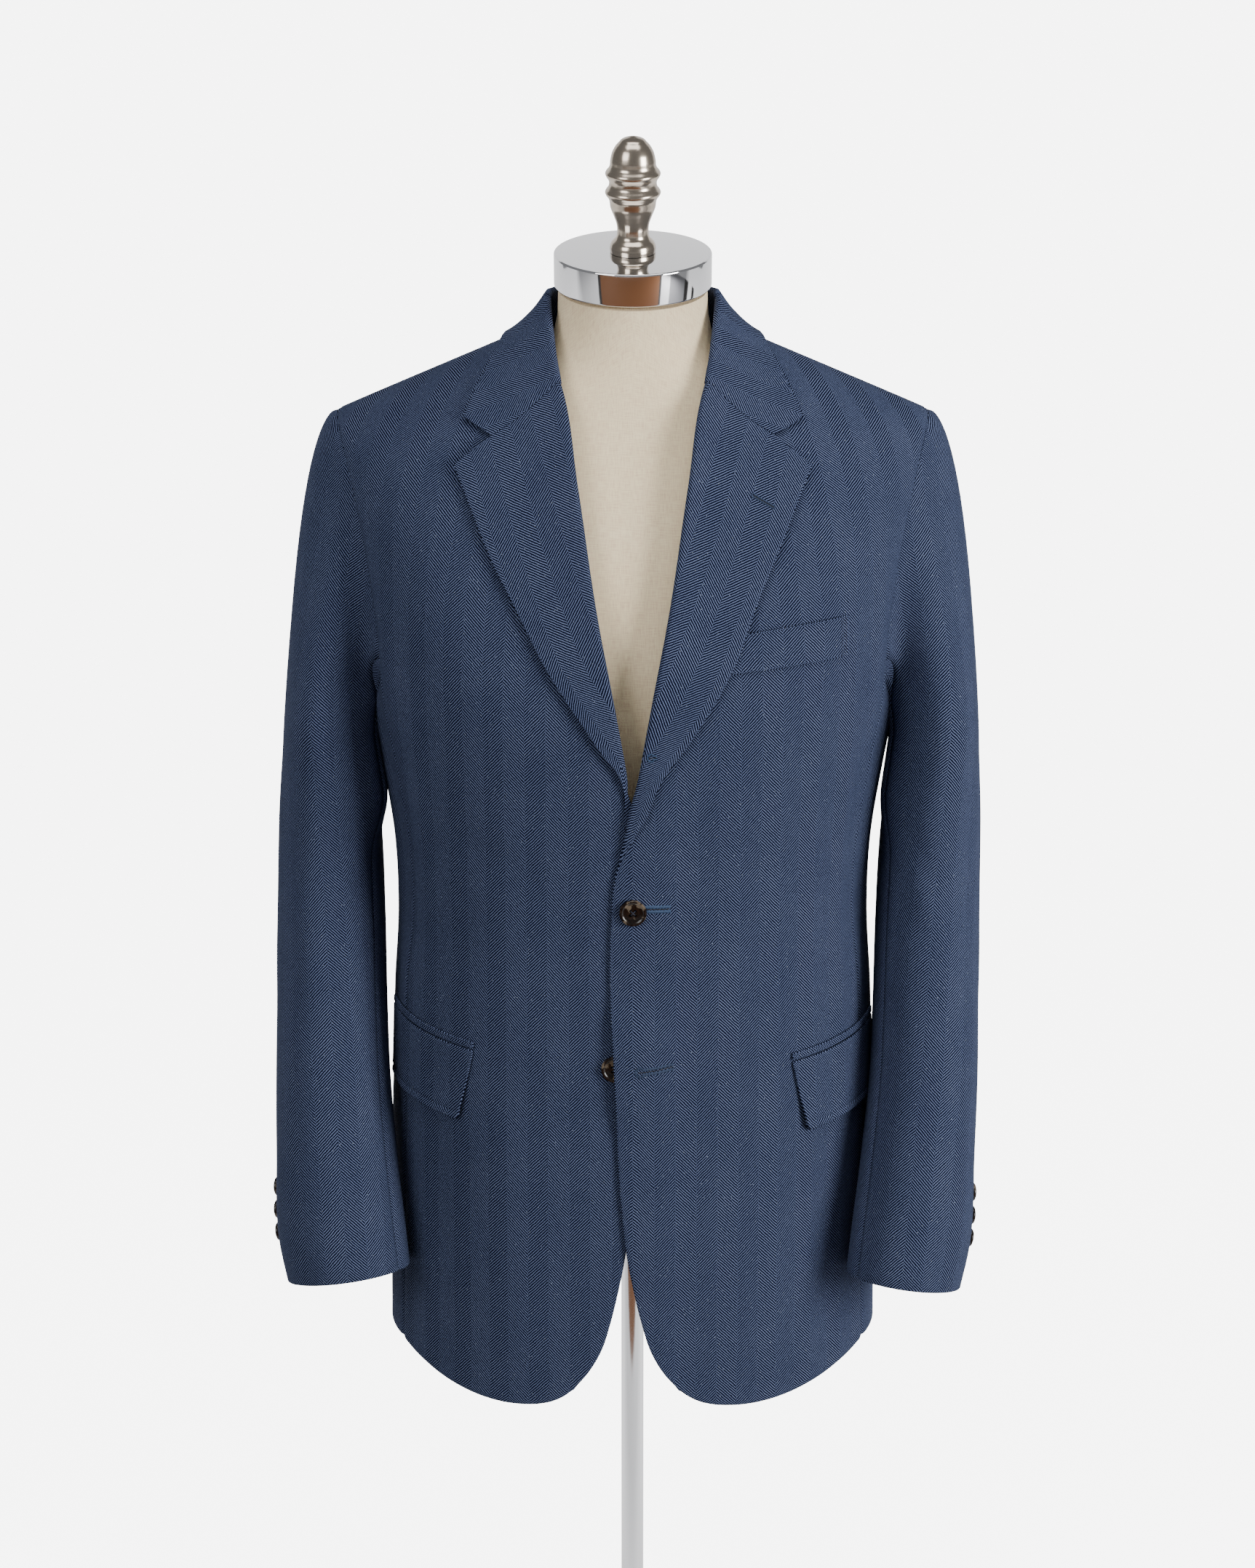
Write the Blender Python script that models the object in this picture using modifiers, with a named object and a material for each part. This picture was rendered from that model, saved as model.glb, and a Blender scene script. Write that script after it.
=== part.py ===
"""Sport coat worn by a limbless dress form on a slim stand.

Metres, +Z up, +X towards the wearer's left, the wearer looks along -Y. The origin is the middle
of the base's underside. Every piece of cloth is a wall: an outer and an inner skin worked out
from one shared surface, so that neighbouring pieces meet at their seams.
"""
import functools
import math

import bmesh
import bpy
import numpy as np
from mathutils import Matrix, Vector

# Cloth
CLOTH = 0.002             # thickness of a wall of cloth
SEAM = 0.0003             # gap between two pieces at a seam
LIE = 0.0005              # air under a piece that lies on another
LAP = 0.0028              # how far the left front stands off the right one
UNDERLAP = 0.012          # below the lapels the right front reaches this much further under it

# Heights above the lowest point of the fronts, and where that point is above the floor
HEM_ABOVE_FLOOR = 0.310
SIDE_HEM = 0.0235
CHEST_LINE = 0.565        # the side seams reach the armholes here
ARMHOLE_BOTTOM = 0.520
BREAK_ROW = 14            # row of the fronts where the lapels start to turn back
GORGE_ROW = 23            # row of the fronts where the lapel ends and the collar starts

# Shoulder seam: a straight line from the neck point down to the shoulder point
NECK_X = 0.075
NECK_HEIGHT = 0.8095
SHOULDER_SLOPE = 0.42
SHOULDER_Y = 0.005
NAPE_DROP = 0.012         # the back neck dips this far under the neck points
SQUARENESS = 2.4          # exponent of the body's rounded rings
SHOULDER_ROUND = 1.8      # exponent of the bend from the shoulder seam down to the chest

# How far round each panel runs: 0 is the middle of the front, 0.5 the side, 1 the middle of the back
FRONT_SEAM = 0.375
BACK_SEAM = 0.625

# Centre vent, with the left back on top
VENT_TOP = 0.235
VENT_LAP = 0.032

# Folds of the lapel and collar
LAPEL_ROLL = 0.0012       # radius under the roll
COLLAR_AIR = 0.0022       # air under the collar's outer edge
LAPEL_AIR = 0.0009        # and under the lapels'
GORGE_GAP = 0.0006        # extra gap between collar and lapel
RISER_STEPS = 2
FOLD_STEPS = 4
LEAF_STEPS = 6
NOTCH_STEP = 4            # of the leaf's steps, those along the gorge seam

# Sleeves
BICEPS = 0.500            # below this the sleeve is made of whole rings
SLEEVE_HEM = 0.089
CAP_START = 0.36          # fullness of the sleeve head where it leaves the seam
CAP_END = 0.80            # and where it reaches the biceps
BACK_PITCH = 4            # row of the back's armhole edge where the hind seam starts

# Stand
BASE_RADIUS = 0.160
BASE_HEIGHT = 0.016
POST_RADIUS = 0.009
NECK_TILT = math.radians(12.4)
CAP_RADIUS = 0.0592
CAP_HEIGHT = 0.025
CAP_TOP = 0.8645
CAP_GAP = 0.0003


class Table:
    """Rows of sizes with named columns, read smoothly at any value of the first column."""

    def __init__(self, columns, rows):
        self.values = dict(zip(columns, np.array(rows, dtype=float).T))
        self.key = self.values[columns[0]]

    def at(self, place, column):
        """The column's value at a place, along a cubic that passes through every row."""
        key = self.key
        value = self.values[column]
        slope = np.gradient(value, key)
        place = np.clip(np.asarray(place, dtype=float), key[0], key[-1])
        row = np.clip(np.searchsorted(key, place, side="right") - 1, 0, len(key) - 2)
        span = key[row + 1] - key[row]
        part = (place - key[row]) / span
        start = value[row] * (1 + 2 * part) * (1 - part) ** 2
        end = value[row + 1] * part**2 * (3 - 2 * part)
        turn = slope[row] * part * (1 - part) ** 2 - slope[row + 1] * part**2 * (1 - part)
        return start + end + turn * span


BODY = Table(
    ("height", "half_width", "front", "back"),
    (
        (-0.01, 0.1945, 0.153, 0.149),
        (0.10, 0.1910, 0.155, 0.151),
        (0.20, 0.1880, 0.154, 0.144),
        (0.30, 0.1855, 0.152, 0.126),
        (0.36, 0.1830, 0.152, 0.116),
        (0.42, 0.1850, 0.155, 0.116),
        (0.48, 0.1940, 0.159, 0.125),
        (0.53, 0.2030, 0.161, 0.136),
        (0.565, 0.2062, 0.160, 0.142),
        (0.60, 0.2076, 0.158, 0.147),
        (0.65, 0.2150, 0.153, 0.150),
        (0.70, 0.2262, 0.150, 0.150),
        (0.75, 0.2398, 0.150, 0.150),
        (0.86, 0.2398, 0.150, 0.150),
    ),
)

# How far below the shoulder seam the cloth is still bending towards the chest or the back
BEND = Table(
    ("across", "reach"),
    ((0.0, 0.310), (0.07, 0.300), (0.15, 0.205), (0.224, 0.120)),
)

# Inner edge of a front, from the cutaway up the front edge and the roll line to the neck point
EDGE = Table(
    ("height", "from_middle"),
    (
        (0.0139, 0.0400),
        (0.0282, 0.0285),
        (0.0449, 0.0192),
        (0.0685, 0.0118),
        (0.0915, 0.0064),
        (0.1258, 0.0000),
        (0.1700, -0.0046),
        (0.2500, -0.0083),
        (0.3807, -0.0116),
        (0.4215, -0.0080),
        (0.4441, -0.0008),
        (0.4819, 0.0045),
        (0.5459, 0.0160),
        (0.6138, 0.0292),
        (0.7032, 0.0433),
        (0.7675, 0.0545),
        (0.7900, 0.0630),
        (0.8095, 0.0750),
    ),
)

# Hem of a front from the corner of the cutaway to the side seam
HEM = Table(
    ("from_middle", "height"),
    (
        (0.040, 0.0139),
        (0.047, 0.0080),
        (0.056, 0.0030),
        (0.066, 0.0000),
        (0.080, -0.0018),
        (0.095, -0.0020),
        (0.110, -0.0005),
        (0.145, 0.0085),
        (0.165, 0.0155),
        (0.185, 0.0215),
        (0.200, 0.0235),
    ),
)

# Free edge of a lapel, by the height of the roll line it is turned back from
LAPEL = Table(
    ("roll_height", "edge_x", "edge_height"),
    (
        (0.4290, -0.0090, 0.4315),
        (0.4440, -0.0028, 0.4485),
        (0.4800, 0.0110, 0.4920),
        (0.5150, 0.0310, 0.5200),
        (0.5650, 0.0660, 0.5740),
        (0.6117, 0.0860, 0.6150),
        (0.6540, 0.1035, 0.6500),
        (0.6917, 0.1165, 0.6800),
        (0.7246, 0.1235, 0.6970),
        (0.7527, 0.1285, 0.7080),
        (0.7717, 0.1310, 0.7138),
    ),
)
LAPEL_CORNER = (0.1310, 0.7138)
NOTCH = (0.1030, 0.7350)
COLLAR_TIP = (0.1246, 0.7465)
GORGE_SAG = 0.003

# Collar from the gorge (0) past the shoulder seam (0.5) to the middle of the back (1)
COLLAR = Table(
    ("along", "stand", "lean", "edge_x", "edge_drop"),
    (
        (0.0, 0.0006, 0.0, 0.1246, 0.0408),
        (0.15, 0.004, 10.0, 0.1155, 0.0260),
        (0.30, 0.012, 24.0, 0.1040, 0.0110),
        (0.50, 0.0245, 40.0, 0.0935, 0.0000),
        (0.65, 0.030, 47.0, 0.0800, 0.0110),
        (0.80, 0.034, 53.0, 0.0480, 0.0330),
        (1.0, 0.036, 55.0, 0.0000, 0.0560),
    ),
)

# Right sleeve by the height of its rings. The left one hangs closer to the body and is slimmer
SLEEVE = Table(
    ("height", "x", "y", "half_x", "half_y", "left_in"),
    (
        (0.085, 0.2190, -0.095, 0.0470, 0.047, 0.0115),
        (0.120, 0.2250, -0.086, 0.0490, 0.050, 0.0110),
        (0.180, 0.2295, -0.068, 0.0465, 0.053, 0.0095),
        (0.240, 0.2325, -0.050, 0.0440, 0.057, 0.0075),
        (0.300, 0.2335, -0.032, 0.0425, 0.061, 0.0065),
        (0.360, 0.2338, -0.016, 0.0412, 0.065, 0.0055),
        (0.420, 0.2345, -0.005, 0.0392, 0.069, 0.0040),
        (0.460, 0.2360, -0.001, 0.0360, 0.073, 0.0030),
        (0.500, 0.2375, 0.000, 0.0318, 0.077, 0.0020),
    ),
)
LEFT_SLIMMER = 0.30       # share of left_in taken off the half width
LEFT_FORWARD = 1.3        # share of left_in that the left sleeve swings forward
LEAN_IN = 0.023           # under the arm a sleeve's inner front reaches this far before the body
CUFF_SLANT = 0.14         # the cuff's outer side hangs lower than its inner side by this slope
CUFF_SLANT_TOP = 0.20

# Degrees round the sleeve: the hind seam runs forward to the outer side on its way to the cuff
SEAM_TURN = Table(
    ("at_armhole", "at_cuff"),
    (
        (-210.0, -210.0),
        (-180.0, -176.0),
        (-142.0, -122.0),
        (-79.0, -20.0),
        (0.0, 34.0),
        (80.0, 90.0),
        (150.0, 150.0),
    ),
)
SEAM_TURN_DONE = 0.20     # the seam has come round by this height
SLEEVE_ROWS = (0.47, 0.44, 0.405, 0.37, 0.335, 0.295, 0.25, 0.205, 0.16, 0.12)
CAP_ROWS = (0.0, 0.05, 0.12, 0.22, 0.36, 0.52, 0.68, 0.84, 1.0)

# Dress form under the coat, from its flat underside to the top of the neck
FORM = Table(
    ("height", "half_width", "front", "back", "y"),
    (
        (0.150, 0.168, 0.126, 0.118, 0.005),
        (0.200, 0.168, 0.128, 0.117, 0.005),
        (0.300, 0.164, 0.126, 0.102, 0.005),
        (0.370, 0.160, 0.126, 0.093, 0.005),
        (0.450, 0.164, 0.131, 0.097, 0.005),
        (0.530, 0.174, 0.136, 0.113, 0.005),
        (0.600, 0.182, 0.130, 0.122, 0.005),
        (0.660, 0.188, 0.112, 0.116, 0.005),
        (0.700, 0.187, 0.094, 0.100, 0.005),
        (0.735, 0.162, 0.078, 0.080, 0.005),
        (0.765, 0.108, 0.068, 0.066, 0.004),
        (0.790, 0.068, 0.060, 0.056, 0.003),
        (0.812, 0.058, 0.056, 0.053, 0.001),
        (0.8375, 0.056, 0.056, 0.056, 0.000),
    ),
)
FORM_ROWS = 19
FORM_SIDES = 32

# Pockets: corners on the body by how far round and how high, for one side
POCKET_START = 0.197      # front end of the hip pocket
POCKET_END = 0.430
POCKET_HEIGHT = {1: 0.2700, -1: 0.2790}
POCKET_RISE = 0.012       # the hip pocket rises this far to its back end
FLAP_DEPTH = 0.057
FLAP_SLANT = 0.022        # the flap's front edge leans back by this share of the way round
FLAP_CORNER = 0.010       # radius of its lower front corner
JET_WIDTH = 0.006
WELT_BOTTOM = ((0.0735, 0.5705), (0.1580, 0.5790))
WELT_TOP = ((0.0845, 0.5995), (0.1575, 0.6090))

# Buttons
BUTTON_RADIUS = 0.01025
CUFF_BUTTON_RADIUS = 0.0075
BUTTON_1 = (0.0, 0.3938)
BUTTON_2 = (-0.0135, 0.2715)
BUTTON_BUMP = 0.0040      # the left front rides over the lower button by this much
BUMP_REACH = 0.038
BUTTON_THICK = 0.0032
CUFF_BUTTON_THICK = 0.0028
CUFF_BUTTONS = (0.1545, 0.1390, 0.1235)
CUFF_BUTTON_TURN = -16.0  # degrees round the sleeve from its outermost line, towards the back

BLUE = (0.035, 0.055, 0.130, 1.0)
HORN = (0.035, 0.018, 0.010, 1.0)
LINEN = (0.560, 0.440, 0.300, 1.0)
CHROME = (0.800, 0.800, 0.820, 1.0)
NICKEL = (0.560, 0.520, 0.470, 1.0)


# Small helpers


def unit(vectors):
    return vectors / np.linalg.norm(vectors, axis=-1, keepdims=True)


def smooth(value):
    """0 below 0, 1 above 1 and an even curve between."""
    value = np.clip(value, 0.0, 1.0)
    return value * value * (3 - 2 * value)


def mix(first, second, part):
    return first + (second - first) * part


def bend(share):
    """Share of the full depth reached at a share of the way down from the shoulder seam."""
    share = np.clip(share, 0.0, 1.0)
    return (1 - (1 - share) ** SHOULDER_ROUND) ** (1 / SHOULDER_ROUND)


# The body's outer surface


def shoulder_height(x):
    return NECK_HEIGHT - (np.abs(x) - NECK_X) * SHOULDER_SLOPE


def body(around, height):
    """Point of the outer surface: around as for the panels (minus on the wearer's right)."""
    angle = np.abs(around) * math.pi
    across = np.abs(np.sin(angle)) ** (2 / SQUARENESS)
    deep = np.cos(angle)
    forward = np.sign(deep) * np.abs(deep) ** (2 / SQUARENESS)
    over_middle = np.where(np.abs(around) > 1, -1.0, 1.0)
    x = np.sign(around) * over_middle * across * BODY.at(height, "half_width")
    depth = np.where(deep > 0, BODY.at(height, "front"), BODY.at(height, "back"))
    fall = bend((shoulder_height(x) - height) / BEND.at(np.abs(x), "reach"))
    return np.stack([x, SHOULDER_Y - depth * forward * fall, height + 0 * x], axis=-1)


def around_of(x, height, back=False):
    """How far round the point of the front or the back with this x and height is."""
    share = np.clip(np.abs(x) / BODY.at(height, "half_width"), 0.0, 1.0)
    turn = np.arcsin(share ** (SQUARENESS / 2)) / math.pi
    if back:
        turn = 1 - turn
    return np.where(x < 0, -turn, turn)


def top_of(around):
    """Height of the shoulder line over a place on the rings."""
    height = np.full_like(around, NECK_HEIGHT, dtype=float)
    for _ in range(25):
        height = shoulder_height(body(around, height - 1e-6)[..., 0])
    return height


def standing_off(side, x, height):
    """How far the left front stands off the body where it laps over the right front."""
    if side < 0:
        return np.zeros_like(x)
    lap = LAP * smooth((0.040 - x) / 0.022) * smooth((0.535 - height) / 0.045)
    apart = np.hypot(x - BUTTON_2[0], height - BUTTON_2[1])
    bump = BUTTON_BUMP * smooth(1.6 - apart / BUMP_REACH)
    return lap + bump * smooth((0.040 - x) / 0.022)


def surface(around, height, lift=0.0):
    """Points and outward normals of the body, or of a layer lifted off it."""
    around, height = np.broadcast_arrays(np.asarray(around, float), np.asarray(height, float))
    lift = np.broadcast_to(lift, around.shape)
    step = 1e-5
    top = top_of(around)
    up = np.minimum(height + step, top)
    down = np.minimum(height, top) - step
    across = body(around + step, down + step / 2) - body(around - step, down + step / 2)
    normal = unit(np.cross(across, body(around, up) - body(around, down)))
    place = body(around, np.minimum(height, top))
    return place + normal * lift[..., None], normal


def on_front(side, x, height, lift=0.0):
    """Points and normals on a front at x and height, lifted off that front."""
    x = np.asarray(x, float)
    height = np.asarray(height, float)
    return surface(around_of(x, height), height, standing_off(side, x, height) + lift)


# Walls of cloth


def grid_normals(points):
    """Normals of a grid of points, from its neighbours along rows and columns."""
    return unit(np.cross(np.gradient(points, axis=1), np.gradient(points, axis=0)))


def draw_in(points, gap):
    """Moves each border of a grid inwards by a gap."""
    moved = points.copy()
    moved[:, 0] += gap * unit(points[:, 1] - points[:, 0])
    moved[:, -1] += gap * unit(points[:, -2] - points[:, -1])
    moved[0] += gap * unit(points[1] - points[0])
    moved[-1] += gap * unit(points[-2] - points[-1])
    return moved


def add_object(name, mesh, material, collection):
    mesh.materials.append(material)
    thing = bpy.data.objects.new(name, mesh)
    collection.objects.link(thing)
    return thing


def wall(name, outer, inner, look):
    """Closed wall between two grids of points with their seams drawn in."""
    outer = draw_in(outer, SEAM / 2)
    inner = draw_in(inner, SEAM / 2)
    rows, columns = outer.shape[:2]
    count = rows * columns
    index = np.arange(count).reshape(rows, columns)
    faces = []
    for i in range(rows - 1):
        for j in range(columns - 1):
            quad = (index[i, j], index[i, j + 1], index[i + 1, j + 1], index[i + 1, j])
            faces.append(tuple(int(k) for k in quad))
            faces.append(tuple(int(k) + count for k in reversed(quad)))
    ring = list(index[0]) + list(index[1:, -1]) + list(index[-1, -2::-1]) + list(index[-2:0:-1, 0])
    for here, after in zip(ring, ring[1:] + ring[:1]):
        faces.append((int(after), int(here), int(here) + count, int(after) + count))
    mesh = bpy.data.meshes.new(name)
    points = np.concatenate([outer.reshape(-1, 3), inner.reshape(-1, 3)])
    points[:, 2] += HEM_ABOVE_FLOOR
    mesh.from_pydata(points.tolist(), [], faces)
    turn_outward(mesh)
    mesh.shade_smooth()
    mesh.set_sharp_from_angle(angle=math.radians(50))
    return add_object(name, mesh, look["material"], look["collection"])


def turn_outward(mesh):
    """Turns every face of a closed mesh so that it faces out."""
    shape = bmesh.new()
    shape.from_mesh(mesh)
    bmesh.ops.recalc_face_normals(shape, faces=shape.faces)
    if shape.calc_volume(signed=True) < 0:
        bmesh.ops.reverse_faces(shape, faces=shape.faces)
    shape.to_mesh(mesh)
    shape.free()


def sheet(name, points, normals, look):
    """Wall of cloth whose outer skin is the given points."""
    return wall(name, points, points - normals * CLOTH, look)


# Body panels


LOWER_ROWS = np.array([
    0, 0.026, 0.06, 0.1, 0.145, 0.2, 0.27, 0.35, 0.42,
    0.475, 0.54, 0.61, 0.67, 0.735, 0.78, 0.845, 0.92, 1.0,
])
UPPER_ROWS = 9
UPPER_EASE = 1.7          # crowds the upper rows towards the shoulder seam


def panel_heights(bottom, top):
    """Heights of a panel's rows at columns whose hem and top are given."""
    lower = bottom + (CHEST_LINE - bottom) * LOWER_ROWS[:, None]
    left = (1 - np.arange(1, UPPER_ROWS + 1) / UPPER_ROWS) ** UPPER_EASE
    upper = top - (top - CHEST_LINE) * left[:, None]
    return np.concatenate([lower, upper])


def edge_x(side, height):
    """X of a front's inner edge. The fronts meet a little to the right below the break."""
    middle = -0.005 * smooth((0.50 - height) / 0.05)
    return middle + side * EDGE.at(height, "from_middle")


def front_grid(side):
    """Around and height of a front's points: rows from the hem up, columns from the inner edge."""
    share = np.linspace(0, 1, 12)
    corner = around_of(edge_x(side, EDGE.key[0]), EDGE.key[0])
    start = mix(corner, side * FRONT_SEAM, share)
    bottom = np.full_like(share, SIDE_HEM)
    for _ in range(8):
        bottom = HEM.at(np.abs(body(start, bottom)[:, 0] + 0.005 * (1 - share)), "height")
    top = np.full_like(share, NECK_HEIGHT)
    for _ in range(25):
        inner = around_of(edge_x(side, top), top)
        top = shoulder_height(body(mix(inner, side * FRONT_SEAM, share), top - 1e-6)[:, 0])
    height = panel_heights(bottom, top)
    reach = UNDERLAP * smooth((0.478 - height) / 0.03) * smooth((height - 0.30) / 0.10)
    inner = around_of(edge_x(side, height) + (reach if side < 0 else 0), height)
    lowest = height[0][None, :] * np.ones_like(height)
    return np.where(height == lowest, start, mix(inner, side * FRONT_SEAM, share)), height


@functools.cache
def front_surface(side):
    around, height = front_grid(side)
    x = body(around, height)[..., 0]
    return surface(around, height, standing_off(side, x, height))


def side_grid(side):
    share = np.linspace(0, 1, 5)
    around = side * mix(FRONT_SEAM, BACK_SEAM, share)
    scoop = CHEST_LINE - (CHEST_LINE - ARMHOLE_BOTTOM) * (4 * share * (1 - share)) ** 0.8
    height = SIDE_HEM + (scoop - SIDE_HEM) * LOWER_ROWS[:, None]
    return around + 0 * height, height


def back_top(x):
    """Top of the back: the shoulder seam, then the neckline between the neck points."""
    dip = NAPE_DROP * (1 - np.clip(np.abs(x) / NECK_X, 0, 1) ** 2)
    return np.where(np.abs(x) >= NECK_X, shoulder_height(x), NECK_HEIGHT - dip)


def back_grid(side):
    """Rows from the hem up, columns from the side seam to the middle."""
    neck = float(around_of(np.array(NECK_X), NECK_HEIGHT, back=True))
    share = np.concatenate([np.linspace(BACK_SEAM, neck, 6), np.linspace(neck, 1.0, 6)[1:]])
    top = np.full_like(share, NECK_HEIGHT)
    for _ in range(25):
        top = back_top(np.abs(body(share, top - 1e-6)[:, 0]))
    height = panel_heights(np.full_like(share, SIDE_HEM), top)
    return side * share + 0 * height, height


@functools.cache
def back_surface(side):
    """A back panel. Below the vent's top the left one laps over the right one."""
    around, height = back_grid(side)
    place = body(around, height)
    if side < 0:
        return surface(around, height)
    open_part = smooth((VENT_TOP - height) / 0.02)
    raised = smooth((VENT_TOP + 0.04 - height) / 0.02)
    near = smooth((0.060 - place[..., 0]) / 0.045)
    reach = VENT_LAP * open_part * near
    x = place[..., 0] - reach
    moved = np.where(reach > 0, around_of(np.abs(x), height, back=True), around)
    moved = np.where(x < 0, 2 - moved, moved)
    return surface(moved, height, LAP * raised * smooth((0.055 - x) / 0.03))


# Lapels and collar


def edge_frame(side, row):
    """Point, normal and outward direction of a front's inner edge at one of its rows."""
    points, normals = front_surface(side)
    along = unit(points[row + 1, 0] - points[row - 1, 0])
    normal = normals[row, 0]
    out = unit(np.cross(along, normal))
    if np.dot(out, points[row, 0] - points[row, 1]) < 0:
        out = -out
    return points[row, 0], normal, out


def fold(start, up, off, radius):
    """Under skin and thickness directions of a half-round fold."""
    turn = np.linspace(0, math.pi, FOLD_STEPS + 1)[:, None]
    centre = start + off * radius
    points = centre + radius * (up * np.sin(turn) - off * np.cos(turn))
    return points, up * np.sin(turn) - off * np.cos(turn)


def gorge_line(start, tail):
    """X and height along the gorge seam to the notch and on to the tail, as leaf steps."""
    share = np.linspace(0, 1, NOTCH_STEP + 1)[1:, None]
    gorge = mix(np.array(start), np.array(NOTCH), share)
    gorge[:, 1] -= GORGE_SAG * np.sin(share[:, 0] * math.pi)
    share = np.linspace(0, 1, LEAF_STEPS - NOTCH_STEP + 1)[1:, None]
    rest = mix(np.array(NOTCH), np.array(tail), share)
    return np.concatenate([gorge, rest])


def lapel_edge(side, roll_height):
    """X and height of the free edge. The left lapel is a little wider low down than the right."""
    low = smooth((roll_height - 0.445) / 0.04) * smooth((0.66 - roll_height) / 0.14)
    wider = 0.0055 * low if side > 0 else -0.0045 * low
    return np.array([LAPEL.at(roll_height, "edge_x") + wider, LAPEL.at(roll_height, "edge_height")])


def leaf_lift(share, start, end):
    """Air under a turned-back leaf: open at the roll and close at its edge."""
    return end + (start - end) * (1 - share) ** 2


def lapel(side, look, last_row):
    """The top of a front, turned back along the roll line."""
    rows = range(BREAK_ROW if side > 0 else BREAK_ROW + 1, last_row + 1)
    share = np.arange(1, LEAF_STEPS + 1) / LEAF_STEPS
    under = []
    thick = []
    for row in rows:
        place, normal, out = edge_frame(side, row)
        part = (row - BREAK_ROW) / (last_row - BREAK_ROW)
        radius = mix(0.4, 1.0, smooth(part * 2.5)) * LAPEL_ROLL
        bend_points, bend_thick = fold(place + out * SEAM / 2, out, normal, radius)
        roll = np.array([side * place[0], place[2]])
        edge = lapel_edge(side, place[2])
        line = roll + (edge - roll) * share[:, None]
        top = gorge_line(roll, LAPEL_CORNER)
        blend = part**7
        line = mix(line, top, blend) if part < 1 else top
        lift = leaf_lift(share, 2 * radius, LAPEL_AIR)
        lie, lie_normals = on_front(side, side * line[:, 0], line[:, 1], lift)
        under.append(np.concatenate([bend_points, lie]))
        thick.append(np.concatenate([bend_thick, lie_normals]))
    under = np.array(under)
    thick = np.array(thick)
    name = "lapel_left" if side > 0 else "lapel_right"
    return wall(name, under + thick * CLOTH, under, look)


def neck_stations(side):
    """Points, normals and outward directions round half the neckline, gorge to nape."""
    stations = []
    points, normals = front_surface(side)
    for row in range(GORGE_ROW, len(points) - 1):
        stations.append(edge_frame(side, row))
    back_points, back_normals = back_surface(side)
    neck = back_points[-1, 5:]
    normals = back_normals[-1, 5:]
    below = back_points[-2, 5:]
    for k, place in enumerate(neck):
        along = neck[min(k + 1, len(neck) - 1)] - neck[max(k - 1, 0)]
        if k == len(neck) - 1:
            along = np.array([1.0, 0.0, 0.0])
        out = unit(np.cross(along, normals[k]))
        if np.dot(out, place - below[k]) < 0:
            out = -out
        stations.append((place, normals[k], out))
    return stations


def collar_half(side):
    """Under skin of half the collar, and the directions of its thickness."""
    stations = neck_stations(side)
    places = np.array([s[0] for s in stations])
    front_count = len(stations) - 6
    along = np.concatenate([np.linspace(0, 0.5, front_count + 1)[:-1], np.linspace(0.5, 1, 6)])
    share = np.arange(1, LEAF_STEPS + 1) / LEAF_STEPS
    rows = []
    thick = []
    for k, (place, normal, out) in enumerate(stations):
        stand = COLLAR.at(along[k], "stand")
        lean = math.radians(COLLAR.at(along[k], "lean"))
        up = unit(out * math.cos(lean) + normal * math.sin(lean))
        off = unit(normal * math.cos(lean) - out * math.sin(lean))
        start = place + out * SEAM / 2
        ridge = start + up * stand
        riser = start + (ridge - start) * np.linspace(0, 1, RISER_STEPS + 1)[:-1, None]
        bend_points, bend_thick = fold(ridge, up, off, LAPEL_ROLL)
        after = bend_points[-1] - place
        high = np.dot(after, normal)
        far = np.dot(after, out)
        leaf = collar_leaf(side, place, along[k], share)
        lift = leaf_lift(share, high, LAPEL_AIR if along[k] == 0 else COLLAR_AIR)
        reach = (far * (1 - share) ** 1.6)[:, None]
        fall = leaf[0] + leaf[1] * lift[:, None] + out * reach
        rows.append(np.concatenate([riser, bend_points, fall]))
        thick.append(np.concatenate([np.tile(-off, (RISER_STEPS, 1)), bend_thick, leaf[1]]))
    rows = np.array(rows)
    thick = np.array(thick)
    thick[1:, -LEAF_STEPS:] = leaf_normals(rows, thick)[1:, -LEAF_STEPS:]
    return rows, thick


def leaf_normals(rows, thick):
    """Normals of the fall, turned to the side that its fold already shows."""
    normals = grid_normals(rows)
    facing = np.sum(normals * thick, axis=-1, keepdims=True)
    return normals * np.where(facing < 0, -1.0, 1.0)


def collar_leaf(side, place, along, share):
    """Body points and normals under one line of the fall, from the neckline to its edge."""
    edge_x_here = float(COLLAR.at(along, "edge_x"))
    drop = float(COLLAR.at(along, "edge_drop"))
    if along == 0:
        line = gorge_line((abs(place[0]), place[2]), COLLAR_TIP)
        return on_front(side, side * line[:, 0], line[:, 1])
    high = float(shoulder_height(edge_x_here)) - drop
    x = abs(place[0]) + (edge_x_here - abs(place[0])) * share
    height = place[2] + (high - place[2]) * share
    height = np.minimum(height, shoulder_height(x))
    turn = around_of(np.maximum(x, 1e-6), height, back=along > 0.5)
    return surface(side * turn, height)


def collar(look):
    """Stand, fold and fall in one piece round the neck."""
    left, left_thick = collar_half(1)
    right, right_thick = collar_half(-1)
    middle = (left[-1] + right[-1]) / 2
    middle[:, 0] = 0
    middle_thick = unit((left_thick[-1] + right_thick[-1]) * np.array([0.0, 1.0, 1.0]))
    under = np.concatenate([left[:-1], middle[None], right[-2::-1]])
    under[0] += GORGE_GAP * unit(under[1] - under[0])
    under[-1] += GORGE_GAP * unit(under[-2] - under[-1])
    thick = np.concatenate([left_thick[:-1], middle_thick[None], right_thick[-2::-1]])
    return wall("collar", under + thick * CLOTH, under, look)


# Sleeves


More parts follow.
